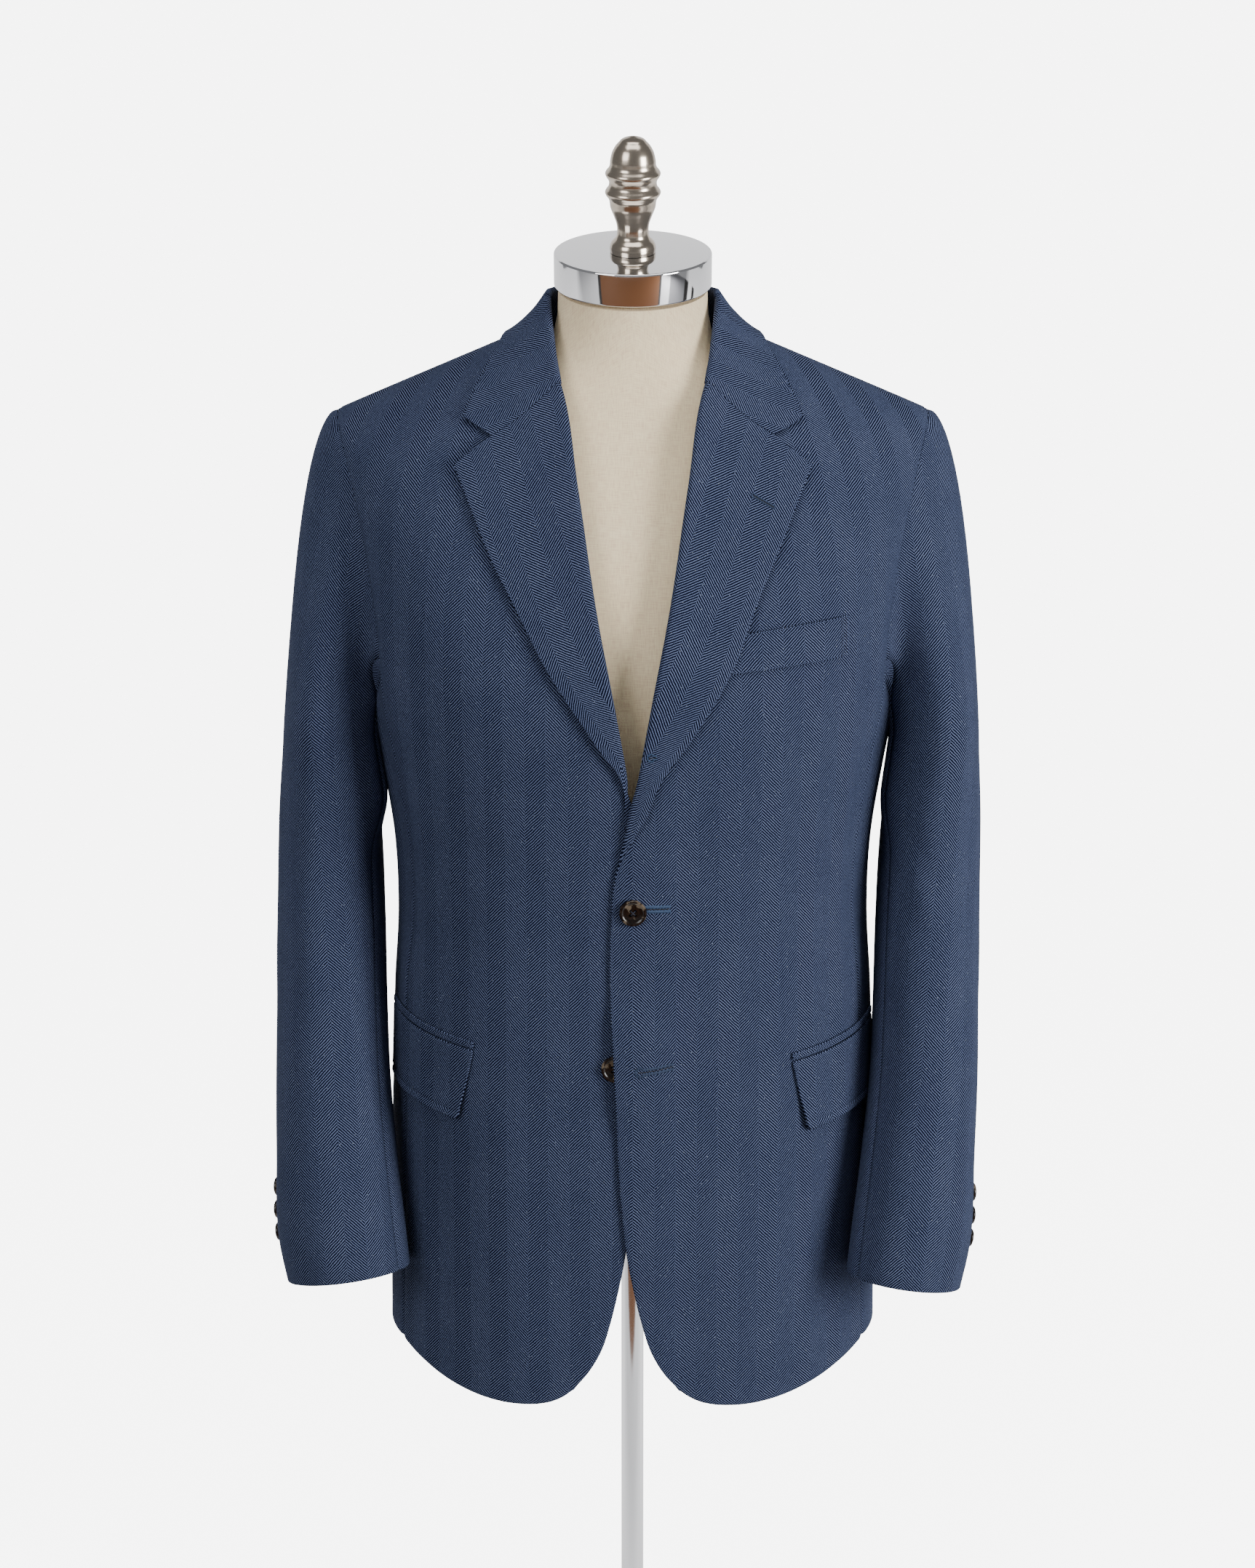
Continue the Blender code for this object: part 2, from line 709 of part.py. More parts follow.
def armhole(side):
    """Points, normals and outward directions round an armhole: front corner, over the shoulder,
    down the back and under the arm, without repeating the first point."""
    front_points, front_normals = front_surface(side)
    back_points, back_normals = back_surface(side)
    side_points, side_normals = surface(*side_grid(side))
    first = len(LOWER_ROWS) - 1
    round_it = (front_points[first:, -1], back_points[-2:first:-1, 0], side_points[-1, :0:-1])
    points = np.concatenate(round_it)
    round_it = (front_normals[first:, -1], back_normals[-2:first:-1, 0], side_normals[-1, :0:-1])
    normals = np.concatenate(round_it)
    along = np.roll(points, -1, axis=0) - np.roll(points, 1, axis=0)
    out = unit(np.cross(along, normals)) * side
    return points, normals, out


def ring_angles(points, tip, corner_back):
    """Degrees round the sleeve for each point of the armhole: 0 outermost, 90 the front."""
    count = len(points)
    bottom = (count + corner_back) // 2
    knots = ((0, 150.0), (tip, 0.0), (corner_back, -142.0), (bottom, -180.0), (count, -210.0))
    angles = np.zeros(count)
    closed = np.concatenate([points, points[:1]])
    length = np.concatenate([[0], np.cumsum(np.linalg.norm(np.diff(closed, axis=0), axis=1))])
    for (first, begin), (last, end) in zip(knots, knots[1:]):
        for k in range(first, min(last, count - 1) + 1):
            angles[k] = mix(begin, end, (length[k] - length[first]) / (length[last] - length[first]))
    return angles


def towards_cuff(degrees, height):
    """Where the sleeve's long lines have got to, round the ring at a height."""
    part = smooth((BICEPS - height) / (BICEPS - SEAM_TURN_DONE))
    return mix(degrees, SEAM_TURN.at(degrees, "at_cuff"), part)


def sleeve_ring(side, height, degrees):
    """Points of a sleeve ring square to the arm, at the given degrees."""
    turn = np.radians(degrees)
    slope = (SLEEVE.at(height + 0.01, "y") - SLEEVE.at(height - 0.01, "y")) / 0.02
    tilt = math.atan(float(slope))
    closer = SLEEVE.at(height, "left_in") if side > 0 else 0.0
    half = SLEEVE.at(height, "half_x") - LEFT_SLIMMER * closer
    x = SLEEVE.at(height, "x") - closer + half * np.cos(turn)
    forward = SLEEVE.at(height, "half_y") * np.sin(turn)
    y = SLEEVE.at(height, "y") - LEFT_FORWARD * closer - forward * math.cos(tilt)
    slant = CUFF_SLANT * smooth((CUFF_SLANT_TOP - height) / 0.10) * half * np.cos(turn)
    return np.stack([side * x, y, height + forward * math.sin(tilt) - slant], axis=-1)


def leaning_in(side, rows, degrees):
    """Sleeve rows whose inner front is moved in before the body, just below the armhole."""
    height = rows[..., 2]
    from_inner_front = (degrees - 128 + 180) % 360 - 180
    inner = np.exp(-((from_inner_front / 24) ** 2))
    inner = inner * smooth((height - 0.42) / 0.06) * smooth((0.545 - height) / 0.04)
    closer = SLEEVE.at(height, "left_in") if side > 0 else 0.0
    moved = rows.copy()
    moved[..., 0] -= side * (LEAN_IN - 1.5 * closer) * inner
    return moved


def sleeve_grid(side):
    """Rows from the armhole to the hem, columns round the sleeve, with normals."""
    points, normals, out = armhole(side)
    tip = UPPER_ROWS
    corner_back = 2 * UPPER_ROWS
    degrees = ring_angles(points, tip, corner_back)
    arm = sleeve_ring(side, BICEPS, degrees)
    down = unit(sleeve_ring(side, BICEPS - 0.03, degrees) - arm)
    length = np.linalg.norm(arm - points, axis=1)[:, None]
    near = smooth((np.abs(degrees) - 60) / 90)[:, None]
    leave = out * length * mix(CAP_START, 0.75, near)
    reach = down * length * CAP_END
    rows = []
    for part in CAP_ROWS:
        start = points * (1 + 2 * part) * (1 - part) ** 2 + leave * part * (1 - part) ** 2
        end = arm * part**2 * (3 - 2 * part) - reach * part**2 * (1 - part)
        rows.append(start + end)
    for height in SLEEVE_ROWS + (SLEEVE_HEM,):
        rows.append(sleeve_ring(side, height, towards_cuff(degrees, height)))
    rows = leaning_in(side, np.array(rows), degrees)
    ringed = np.concatenate([rows[:, -1:], rows, rows[:, :1]], axis=1)
    outward = grid_normals(ringed)[:, 1:-1] * -side
    outward[0] = normals
    return rows, outward, degrees


def sleeve(side, look):
    """Top sleeve and under sleeve of one arm."""
    rows, normals, _ = sleeve_grid(side)
    word = "left" if side > 0 else "right"
    hind = 2 * UPPER_ROWS - BACK_PITCH
    top = np.arange(0, hind + 1)
    under = np.append(np.arange(hind, rows.shape[1]), 0)
    sheet("sleeve_top_" + word, rows[:, top], normals[:, top], look)
    sheet("sleeve_under_" + word, rows[:, under], normals[:, under], look)


# Pockets


def pocket_line(side, share):
    """Around and height along the mouth of a hip pocket, front end first."""
    around = mix(POCKET_START, POCKET_END, share)
    return around, POCKET_HEIGHT[side] + POCKET_RISE * share


def flap(side, look):
    """Pocket flap with a rounded lower front corner."""
    share = np.linspace(0, 1, 9)
    down = np.linspace(0, 1, 5)
    around, high = pocket_line(side, share)
    away = np.minimum(share * 0.16 / FLAP_CORNER, 1.0)
    corner = FLAP_CORNER * (1 - np.sqrt(1 - (1 - away) ** 2))
    depth = FLAP_DEPTH - corner
    height = high - LIE - depth * down[:, None]
    turn = around + FLAP_SLANT * down[:, None] * (1 - share)
    x = body(side * turn, height)[..., 0]
    points, normals = surface(side * turn, height, standing_off(side, x, height) + LIE + CLOTH)
    sheet("flap_left" if side > 0 else "flap_right", points, normals, look)


def jet(side, look):
    """Narrow strip over the mouth of a hip pocket."""
    share = np.linspace(0, 1, 9)
    around, high = pocket_line(side, share)
    height = high + SEAM + JET_WIDTH * np.array([0.0, 1.0])[:, None]
    points, normals = surface(side * around, height, LIE + CLOTH)
    sheet("jet_left" if side > 0 else "jet_right", points, normals, look)


def breast_welt(look):
    """Slanting welt of the breast pocket. Its inner end stops at the lapel's edge."""
    bottom = np.array(WELT_BOTTOM)
    top = np.array(WELT_TOP)
    share = np.linspace(0, 1, 7)[:, None]
    rows = []
    for part in np.linspace(0, 1, 3):
        rows.append(mix(mix(bottom[0], bottom[1], share), mix(top[0], top[1], share), part))
    rows = np.array(rows)
    points, normals = on_front(1, rows[..., 0], rows[..., 1], LIE + CLOTH)
    sheet("breast_welt", points, normals, look)


# Turned pieces and buttons


def turned(name, profile, steps, place, turn, look):
    """Solid turned from a profile of radius and height, top to bottom, on its own axis."""
    mesh = bpy.data.meshes.new(name)
    edges = [(k, k + 1) for k in range(len(profile) - 1)]
    mesh.from_pydata([(r, 0.0, z) for r, z in profile], edges, [])
    thing = add_object(name, mesh, look["material"], look["collection"])
    screw = thing.modifiers.new("turn", "SCREW")
    screw.steps = steps
    screw.render_steps = steps
    screw.use_merge_vertices = True
    screw.merge_threshold = 0.00005
    screw.use_smooth_shade = True
    thing.location = place
    thing.rotation_euler = turn
    return thing


def button_profile(radius, thick):
    """Flat back, rounded rim and a dished face, top to bottom."""
    rim = radius * 0.80
    face = thick * 0.72
    return (
        (0.0, face),
        (radius * 0.68, face),
        (rim, thick),
        (radius * 0.93, thick),
        (radius, thick * 0.62),
        (radius * 0.92, 0.0),
        (0.0, 0.0),
    )


def button(name, place, normal, radius, thick, steps, look, cutters):
    """Four-hole button whose back is on the given point."""
    turn = Vector(normal).to_track_quat("Z", "Y").to_euler()
    spot = Vector(place) + Vector((0, 0, HEM_ABOVE_FLOOR))
    thing = turned(name, button_profile(radius, thick), steps, spot, turn, look)
    drill = bmesh.new()
    for across in (-1, 1):
        for along in (-1, 1):
            middle = Matrix.Translation((across * radius * 0.17, along * radius * 0.17, thick / 2))
            bmesh.ops.create_cone(
                drill, cap_ends=True, segments=6, radius1=radius * 0.10, radius2=radius * 0.10,
                depth=thick * 3, matrix=middle,
            )
    mesh = bpy.data.meshes.new(name + "_drill")
    drill.to_mesh(mesh)
    drill.free()
    cutter = bpy.data.objects.new(name + "_drill", mesh)
    cutter.location = spot
    cutter.rotation_euler = turn
    cutter.display_type = "WIRE"
    cutter.hide_render = True
    cutters.objects.link(cutter)
    cut = thing.modifiers.new("holes", "BOOLEAN")
    cut.operation = "DIFFERENCE"
    cut.object = cutter
    return thing


def front_buttons(look, cutters):
    for number, (spot, side) in enumerate(((BUTTON_1, 1), (BUTTON_2, -1)), start=1):
        place, normal = on_front(side, np.array(spot[0]), np.array(spot[1]), LIE)
        button("button_%d" % number, place, normal, BUTTON_RADIUS, BUTTON_THICK, 20, look, cutters)


def cuff_buttons(side, look, cutters):
    word = "left" if side > 0 else "right"
    for number, height in enumerate(CUFF_BUTTONS, start=1):
        around = np.array([CUFF_BUTTON_TURN - 8, CUFF_BUTTON_TURN, CUFF_BUTTON_TURN + 8])
        rings = np.array([sleeve_ring(side, height + lift, around) for lift in (-0.01, 0, 0.01)])
        normal = unit(np.cross(rings[1, 2] - rings[1, 0], rings[2, 1] - rings[0, 1]))
        if normal[0] * side < 0:
            normal = -normal
        name = "cuff_button_%s_%d" % (word, number)
        place = rings[1, 1] + normal * 0.0009
        button(name, place, normal, CUFF_BUTTON_RADIUS - SEAM / 2, CUFF_BUTTON_THICK, 12, look, cutters)


# Dress form and stand


def form_torso(look):
    """Smooth limbless body, closed flat at its underside and at the top of its neck."""
    top = FORM.key[-1]
    share = np.linspace(0, 1, FORM_ROWS)
    heights = mix(FORM.key[0], top, share**0.85)
    turn = np.linspace(0, 2 * math.pi, FORM_SIDES, endpoint=False)
    rows = []
    for height in heights:
        square = mix(2.4, 2.0, smooth((height - 0.70) / 0.09))
        across = np.sign(np.sin(turn)) * np.abs(np.sin(turn)) ** (2 / square)
        deep = np.sign(np.cos(turn)) * np.abs(np.cos(turn)) ** (2 / square)
        depth = np.where(deep > 0, FORM.at(height, "front"), FORM.at(height, "back"))
        y = FORM.at(height, "y") - deep * depth
        lean = smooth((height - 0.80) / (top - 0.80)) * math.tan(NECK_TILT)
        z = height + (y - FORM.at(height, "y")) * lean
        rows.append(np.stack([across * FORM.at(height, "half_width"), y, z], axis=-1))
    rows = np.array(rows)
    rows[..., 2] += HEM_ABOVE_FLOOR
    points = rows.reshape(-1, 3)
    faces = []
    for i in range(FORM_ROWS - 1):
        for j in range(FORM_SIDES):
            k = (j + 1) % FORM_SIDES
            low = i * FORM_SIDES
            high = low + FORM_SIDES
            faces.append((low + j, low + k, high + k, high + j))
    faces.append(tuple(range(FORM_SIDES)))
    faces.append(tuple(range((FORM_ROWS - 1) * FORM_SIDES, FORM_ROWS * FORM_SIDES)))
    mesh = bpy.data.meshes.new("form_torso")
    mesh.from_pydata(points.tolist(), [], faces)
    turn_outward(mesh)
    mesh.shade_smooth()
    mesh.set_sharp_from_angle(angle=math.radians(50))
    return add_object("form_torso", mesh, look["material"], look["collection"])


def neck_axis(height):
    """Point on the neck's leaning axis that far above the underside of the cap."""
    bottom = np.array([0.0, 0.0, CAP_TOP - CAP_HEIGHT * math.cos(NECK_TILT)])
    up = np.array([0.0, -math.sin(NECK_TILT), math.cos(NECK_TILT)])
    return Vector(bottom + up * height) + Vector((0, 0, HEM_ABOVE_FLOOR))


def cap_and_finial(chrome, nickel):
    tilt = (NECK_TILT, 0.0, 0.0)
    soft = 0.0015
    cap = (
        (0.0, CAP_HEIGHT),
        (CAP_RADIUS - soft, CAP_HEIGHT),
        (CAP_RADIUS - 0.3 * soft, CAP_HEIGHT - 0.3 * soft),
        (CAP_RADIUS, CAP_HEIGHT - soft),
        (CAP_RADIUS, soft),
        (CAP_RADIUS - soft, 0.0),
        (0.0, 0.0),
    )
    turned("neck_cap", cap, 40, neck_axis(CAP_GAP), tilt, chrome)
    shape = Table(
        ("height", "radius"),
        (
            (0.000, 0.0170), (0.004, 0.0165), (0.007, 0.0125), (0.014, 0.0118), (0.024, 0.0128),
            (0.033, 0.0150), (0.038, 0.0175), (0.043, 0.0205), (0.048, 0.0185), (0.051, 0.0172),
            (0.055, 0.0190), (0.059, 0.0210), (0.063, 0.0190), (0.066, 0.0166), (0.071, 0.0168),
            (0.077, 0.0150), (0.083, 0.0105), (0.0865, 0.0050), (0.0875, 0.0010),
        ),
    )
    heights = shape.key[::-1]
    finial = [(0.0, float(heights[0]))]
    finial += [(float(shape.at(z, "radius")), float(z)) for z in heights]
    finial += [(0.0, 0.0)]
    turned("finial", finial, 24, neck_axis(CAP_HEIGHT + 2 * CAP_GAP), tilt, nickel)


def stand(look):
    """Slim post and round base plate."""
    top = HEM_ABOVE_FLOOR + FORM.key[0] - CAP_GAP
    bottom = BASE_HEIGHT + CAP_GAP
    flat = (0.0, 0.0, 0.0)
    post = ((0.0, top), (POST_RADIUS, top), (POST_RADIUS, bottom), (0.0, bottom))
    turned("post", post, 24, (0.0, 0.0, 0.0), flat, look)
    soft = 0.004
    base = (
        (0.0, BASE_HEIGHT),
        (BASE_RADIUS - soft, BASE_HEIGHT),
        (BASE_RADIUS - 0.3 * soft, BASE_HEIGHT - 0.3 * soft),
        (BASE_RADIUS, BASE_HEIGHT - soft),
        (BASE_RADIUS, 0.0),
        (0.0, 0.0),
    )
    turned("base", base, 48, (0.0, 0.0, 0.0), flat, look)


# Materials and assembly


def make_material(name, colour, roughness, metallic):
    material = bpy.data.materials.new(name)
    material.use_nodes = True
    shader = material.node_tree.nodes["Principled BSDF"]
    shader.inputs["Base Color"].default_value = colour
    shader.inputs["Roughness"].default_value = roughness
    shader.inputs["Metallic"].default_value = metallic
    material.diffuse_color = colour
    return material


def make_collection(name):
    collection = bpy.data.collections.new(name)
    bpy.context.scene.collection.children.link(collection)
    return collection


def main():
    for thing in list(bpy.data.objects):
        bpy.data.objects.remove(thing)
    parts = make_collection("sport_coat")
    cutters = make_collection("cutters")
    looks = {}
    for name, colour, roughness, metallic in (
        ("blue_wool", BLUE, 0.95, 0.0),
        ("horn", HORN, 0.35, 0.0),
        ("linen", LINEN, 0.95, 0.0),
        ("chrome", CHROME, 0.05, 1.0),
        ("nickel", NICKEL, 0.30, 1.0),
    ):
        looks[name] = {"material": make_material(name, colour, roughness, metallic), "collection": parts}
    wool = looks["blue_wool"]
    for side, word in ((1, "left"), (-1, "right")):
        sheet("front_" + word, *front_surface(side), wool)
        sheet("side_" + word, *surface(*side_grid(side)), wool)
        sheet("back_" + word, *back_surface(side), wool)
        lapel(side, wool, GORGE_ROW)
        sleeve(side, wool)
        flap(side, wool)
        jet(side, wool)
        cuff_buttons(side, looks["horn"], cutters)
    collar(wool)
    breast_welt(wool)
    front_buttons(looks["horn"], cutters)
    form_torso(looks["linen"])
    cap_and_finial(looks["chrome"], looks["nickel"])
    stand(looks["chrome"])


main()
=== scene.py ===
import math

import bmesh
import bpy
import numpy as np
from mathutils import Matrix, Vector
from mathutils.bvhtree import BVHTree


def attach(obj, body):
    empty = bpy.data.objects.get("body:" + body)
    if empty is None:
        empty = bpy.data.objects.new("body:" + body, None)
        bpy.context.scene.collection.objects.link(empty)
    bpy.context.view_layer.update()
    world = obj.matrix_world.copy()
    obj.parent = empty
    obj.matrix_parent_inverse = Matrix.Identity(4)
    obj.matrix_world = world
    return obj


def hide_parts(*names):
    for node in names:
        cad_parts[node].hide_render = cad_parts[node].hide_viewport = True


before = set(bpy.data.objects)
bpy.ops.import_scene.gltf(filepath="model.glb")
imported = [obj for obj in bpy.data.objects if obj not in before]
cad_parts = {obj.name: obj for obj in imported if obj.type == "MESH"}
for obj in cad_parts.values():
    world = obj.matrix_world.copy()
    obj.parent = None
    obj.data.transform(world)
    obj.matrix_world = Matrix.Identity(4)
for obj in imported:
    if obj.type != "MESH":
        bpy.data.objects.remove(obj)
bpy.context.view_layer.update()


# Studio. A plain pale floor that curves up behind the coat, in a pale room. The camera sees both
# bright, but they light the coat only a little. Three softboxes light it, and cards on the floor
# show only in the metal. The camera is a little above the finial and looks down.

FLOOR_HALF_WIDTH = 7.0
FLOOR_FRONT = -5.0
FLOOR_BACK = 4.0
SWEEP_RADIUS = 2.0
SWEEP_TOP = 7.0
SWEEP_STEPS = 16
PALE = (0.86, 0.86, 0.86, 1.0)      # the paper as it is seen
DULL = (0.25, 0.25, 0.25, 1.0)      # and as it throws light up at the coat
PAPER_GLOW = 7.0          # the paper's brightness to the camera
PAPER_SPILL = 0.9         # and to the coat, from the paper behind the stand
SPILL_START = -0.4
SPILL_FULL = 0.2
ROOM = (0.90, 0.91, 0.93, 1.0)
ROOM_GLOW = 6.0           # the room's brightness to the camera
ROOM_SPILL = 0.25         # and to the coat
DARK_CARD = (0.012, 0.010, 0.009, 1.0)
GREY_CARD = (0.22, 0.22, 0.23, 1.0)
WOOD = (0.165, 0.060, 0.015, 1.0)
CARD_NEAR = 0.9
CARD_FAR = 4.0
CARD_HEIGHT = 0.02
CARDS = (
    # name, left bearing, right bearing, colour
    ("boards", -50, 41, WOOD),
    ("card_left", -54, -50, DARK_CARD),
    ("card_right", 41, 44, DARK_CARD),
    ("card_grey", 58, 84, GREY_CARD),
    ("card_side", 84, 91, DARK_CARD),
    ("card_far", 99, 104, DARK_CARD),
)
SOFTBOXES = (
    # name, place, aim, size, power
    ("softbox_left", (-2.3, -2.8, 2.2), (0.0, 0.0, 1.0), (1.8, 2.0), 66.0),
    ("softbox_right", (2.7, -1.9, 1.25), (0.0, 0.0, 0.8), (1.3, 1.4), 134.0),
    ("softbox_top", (0.0, -0.9, 3.2), (0.0, 0.0, 0.9), (2.4, 1.0), 30.0),
)
CAMERA_PLACE = (-0.004, -2.5, 1.356)
CAMERA_TILT = math.radians(13.3)
CAMERA_LENS = 75.9
FILM_WIDTH = 36.0


def plain_material(name, colour, roughness, metallic=0.0):
    """A material with one shader, and the shader itself."""
    material = bpy.data.materials.new(name)
    material.use_nodes = True
    shader = material.node_tree.nodes["Principled BSDF"]
    shader.inputs["Base Color"].default_value = colour
    shader.inputs["Roughness"].default_value = roughness
    shader.inputs["Metallic"].default_value = metallic
    return material, shader


def feed(tree, socket, value):
    """Gives a socket another socket's value, or a fixed number or colour."""
    if isinstance(value, (tuple, float, int)):
        socket.default_value = value
    else:
        tree.links.new(value, socket)


def range_node(tree, value, from_range, to_range=(0.0, 1.0)):
    node = tree.nodes.new("ShaderNodeMapRange")
    for socket, number in zip(list(node.inputs)[1:5], from_range + to_range):
        socket.default_value = number
    feed(tree, node.inputs["Value"], value)
    return node


def colour_mix(tree, part, first, second):
    node = tree.nodes.new("ShaderNodeMix")
    node.data_type = "RGBA"
    for place, value in ((0, part), (6, first), (7, second)):      # the sockets that take colours
        feed(tree, node.inputs[place], value)
    return node.outputs[2]


def placed(name, data):
    """A new object in the scene, which holds a mesh, a lamp or a lens."""
    thing = bpy.data.objects.new(name, data)
    bpy.context.scene.collection.objects.link(thing)
    return thing


def plain_mesh(name, points, faces, material):
    mesh = bpy.data.meshes.new(name)
    mesh.from_pydata(points, [], faces)
    mesh.materials.append(material)
    return mesh


def paper_material():
    paper, shader = plain_material("studio_paper", PALE, 0.9)
    tree = paper.node_tree
    place = tree.nodes.new("ShaderNodeTexCoord")
    apart = tree.nodes.new("ShaderNodeSeparateXYZ")
    tree.links.new(place.outputs["Object"], apart.inputs[0])
    spill = range_node(tree, apart.outputs["Y"], (SPILL_START, SPILL_FULL), (0.0, PAPER_SPILL))
    rays = tree.nodes.new("ShaderNodeLightPath").outputs
    glow = tree.nodes.new("ShaderNodeMix")
    for number, value in ((0, rays["Is Camera Ray"]), (2, spill.outputs[0]), (3, PAPER_GLOW)):
        feed(tree, glow.inputs[number], value)
    tree.links.new(glow.outputs[0], shader.inputs["Emission Strength"])
    shader.inputs["Emission Color"].default_value = PALE
    seen = colour_mix(tree, rays["Is Diffuse Ray"], PALE, DULL)
    tree.links.new(seen, shader.inputs["Base Color"])
    return paper


def studio_floor():
    profile = [(FLOOR_FRONT, 0.0), (FLOOR_BACK, 0.0)]
    for step in range(1, SWEEP_STEPS + 1):
        turn = math.pi / 2 * step / SWEEP_STEPS
        out, up = math.sin(turn), 1 - math.cos(turn)
        profile.append((FLOOR_BACK + SWEEP_RADIUS * out, SWEEP_RADIUS * up))
    profile.append((FLOOR_BACK + SWEEP_RADIUS, SWEEP_TOP))
    points = [(x, y, z) for y, z in profile for x in (-FLOOR_HALF_WIDTH, FLOOR_HALF_WIDTH)]
    faces = [(2 * k, 2 * k + 1, 2 * k + 3, 2 * k + 2) for k in range(len(profile) - 1)]
    mesh = plain_mesh("studio_floor", points, faces, paper_material())
    mesh.shade_smooth()
    floor = placed("studio_floor", mesh)


def studio_light(name, place, aim, size, power):
    lamp = bpy.data.lights.new(name, "AREA")
    lamp.shape = "RECTANGLE"
    lamp.size, lamp.size_y = size
    lamp.energy = power
    thing = placed(name, lamp)
    thing.location = place
    thing.rotation_euler = (Vector(aim) - Vector(place)).to_track_quat("-Z", "Y").to_euler()


def studio_card(name, left, right, colour):
    """A card on the floor before the stand, between two bearings from it in degrees. It shows
    only as a reflection in the metal and the buttons."""
    corners = ((left, CARD_NEAR), (right, CARD_NEAR), (right, CARD_FAR), (left, CARD_FAR))
    points = []
    for bearing, away in corners:
        turn = math.radians(bearing)
        points.append((away * math.sin(turn), -away * math.cos(turn), CARD_HEIGHT))
    material = plain_material(name, colour, 0.8)[0]
    card = placed(name, plain_mesh(name, points, [(0, 1, 2, 3)], material))
    card.visible_camera = False
    card.visible_diffuse = False
    card.visible_shadow = False


def studio_camera():
    lens = bpy.data.cameras.new("camera")
    lens.sensor_width = FILM_WIDTH
    lens.lens = CAMERA_LENS
    lens.clip_start = 0.05
    camera = placed("camera", lens)
    camera.location = CAMERA_PLACE
    camera.rotation_euler = (math.pi / 2 - CAMERA_TILT, 0.0, 0.0)
    bpy.context.scene.camera = camera


def studio_room():
    world = bpy.data.worlds.new("studio_room")
    world.use_nodes = True
    tree = world.node_tree
    room = tree.nodes["Background"]
    room.inputs["Color"].default_value = ROOM
    rays = tree.nodes.new("ShaderNodeLightPath")
    shown = range_node(tree, rays.outputs["Is Camera Ray"], (0.0, 1.0), (ROOM_SPILL, ROOM_GLOW))
    tree.links.new(shown.outputs["Result"], room.inputs["Strength"])
    bpy.context.scene.world = world


studio_floor()
for softbox in SOFTBOXES:
    studio_light(*softbox)
for card in CARDS:
    studio_card(*card)
studio_camera()
studio_room()


# Fronts. Each front is one piece of herringbone wool from the hem to the shoulder seam, shaped
# over the chest by canvas and steam. The free edge is turned in and pressed round. The side
# edge is sewn to the side body and the top to the back. Cloth and weave are made here.

CLOTH = 0.002             # thickness of the cloth
SEAM = 0.0003             # gap at a seam
EDGE_ROLL = 0.0008        # how far a free pressed edge bulges
SEAM_ROLL = 0.0001        # and an edge at a seam
LAP = 0.0028              # the left front stands this far off the right one
SEAM_DEPTH = 0.0011       # a seam pulls the cloth in this far
SEAM_SPREAD = 0.0032
HEM_ABOVE_FLOOR = 0.310
SIDE_HEM = 0.0235
CHEST_LINE = 0.565
NECK_X = 0.075
NECK_HEIGHT = 0.8095
SHOULDER_SLOPE = 0.42
SHOULDER_Y = 0.005
SQUARENESS = 2.4
SHOULDER_ROUND = 1.8
FRONT_SEAM = 0.375
BACK_SEAM = 0.625
BREAK_ROW = 14
GORGE_ROW = 23
TOP_ROW = 26
CHEST_ROW = 17
BUTTON_2 = (-0.0135, 0.2715)
UNDER_BUTTON = 0.0040     # room under the left front for the lower button
LAP_EDGE = 0.040          # the lap starts to lift this far to the left of the middle
LAP_EASE = 0.022
LAP_TOP = 0.535
MEETING = 0.005           # the fronts meet this far to the right of the middle
MEETING_TOP = 0.50
UNDERLAP = 0.012
UNDERLAP_TOP = 0.478
UNDERLAP_BOTTOM = 0.30
AROUND_LENGTH = 0.6       # about the length of cloth from the front to the middle of the back
GRAIN_LEAN = 0.5          # above this height the weave leans outwards, as cut for the lapel
GRAIN_LEAN_START = 0.36
GRAIN_START = 0.30        # where the weave of the sides and back is in line with the fronts'
CHEST_LOOSE = 0.61        # the weave of a front keeps its columns below this height
SIDES = ((1, "left"), (-1, "right"))        # the wearer's left is towards positive X
EASE_ROUNDS = 300
LONG_ROUNDS = 1500
COARSE = 4


class Sizes:
    """Rows of sizes with named columns, read smoothly at any value of the first column."""

    def __init__(self, columns, rows):
        self.values = dict(zip(columns, np.array(rows, dtype=float).T))
        self.key = self.values[columns[0]]

    def at(self, place, column):
        key = self.key
        value = self.values[column]
        slope = np.gradient(value, key)
        place = np.clip(np.asarray(place, dtype=float), key[0], key[-1])
        row = np.clip(np.searchsorted(key, place, side="right") - 1, 0, len(key) - 2)
        span = key[row + 1] - key[row]
        part = (place - key[row]) / span
        start = value[row] * (1 + 2 * part) * (1 - part) ** 2
        end = value[row + 1] * part**2 * (3 - 2 * part)
        turn = slope[row] * part * (1 - part) ** 2 - slope[row + 1] * part**2 * (1 - part)
        return start + end + turn * span


BODY = Sizes(
    ("height", "half_width", "front", "back"),
    (
        (-0.01, 0.1945, 0.153, 0.149),
        (0.10, 0.1910, 0.155, 0.151),
        (0.20, 0.1890, 0.154, 0.144),
        (0.30, 0.1866, 0.152, 0.126),
        (0.36, 0.1830, 0.152, 0.116),
        (0.42, 0.1850, 0.155, 0.116),
        (0.48, 0.1940, 0.159, 0.125),
        (0.53, 0.2030, 0.161, 0.136),
        (0.565, 0.2062, 0.160, 0.142),
        (0.60, 0.2076, 0.158, 0.147),
        (0.65, 0.2150, 0.153, 0.150),
        (0.70, 0.2262, 0.150, 0.150),
        (0.75, 0.2398, 0.150, 0.150),
        (0.86, 0.2398, 0.150, 0.150),
    ),
)
BEND = Sizes(
    ("across", "reach"),
    ((0.0, 0.310), (0.07, 0.300), (0.15, 0.205), (0.224, 0.120)),
)
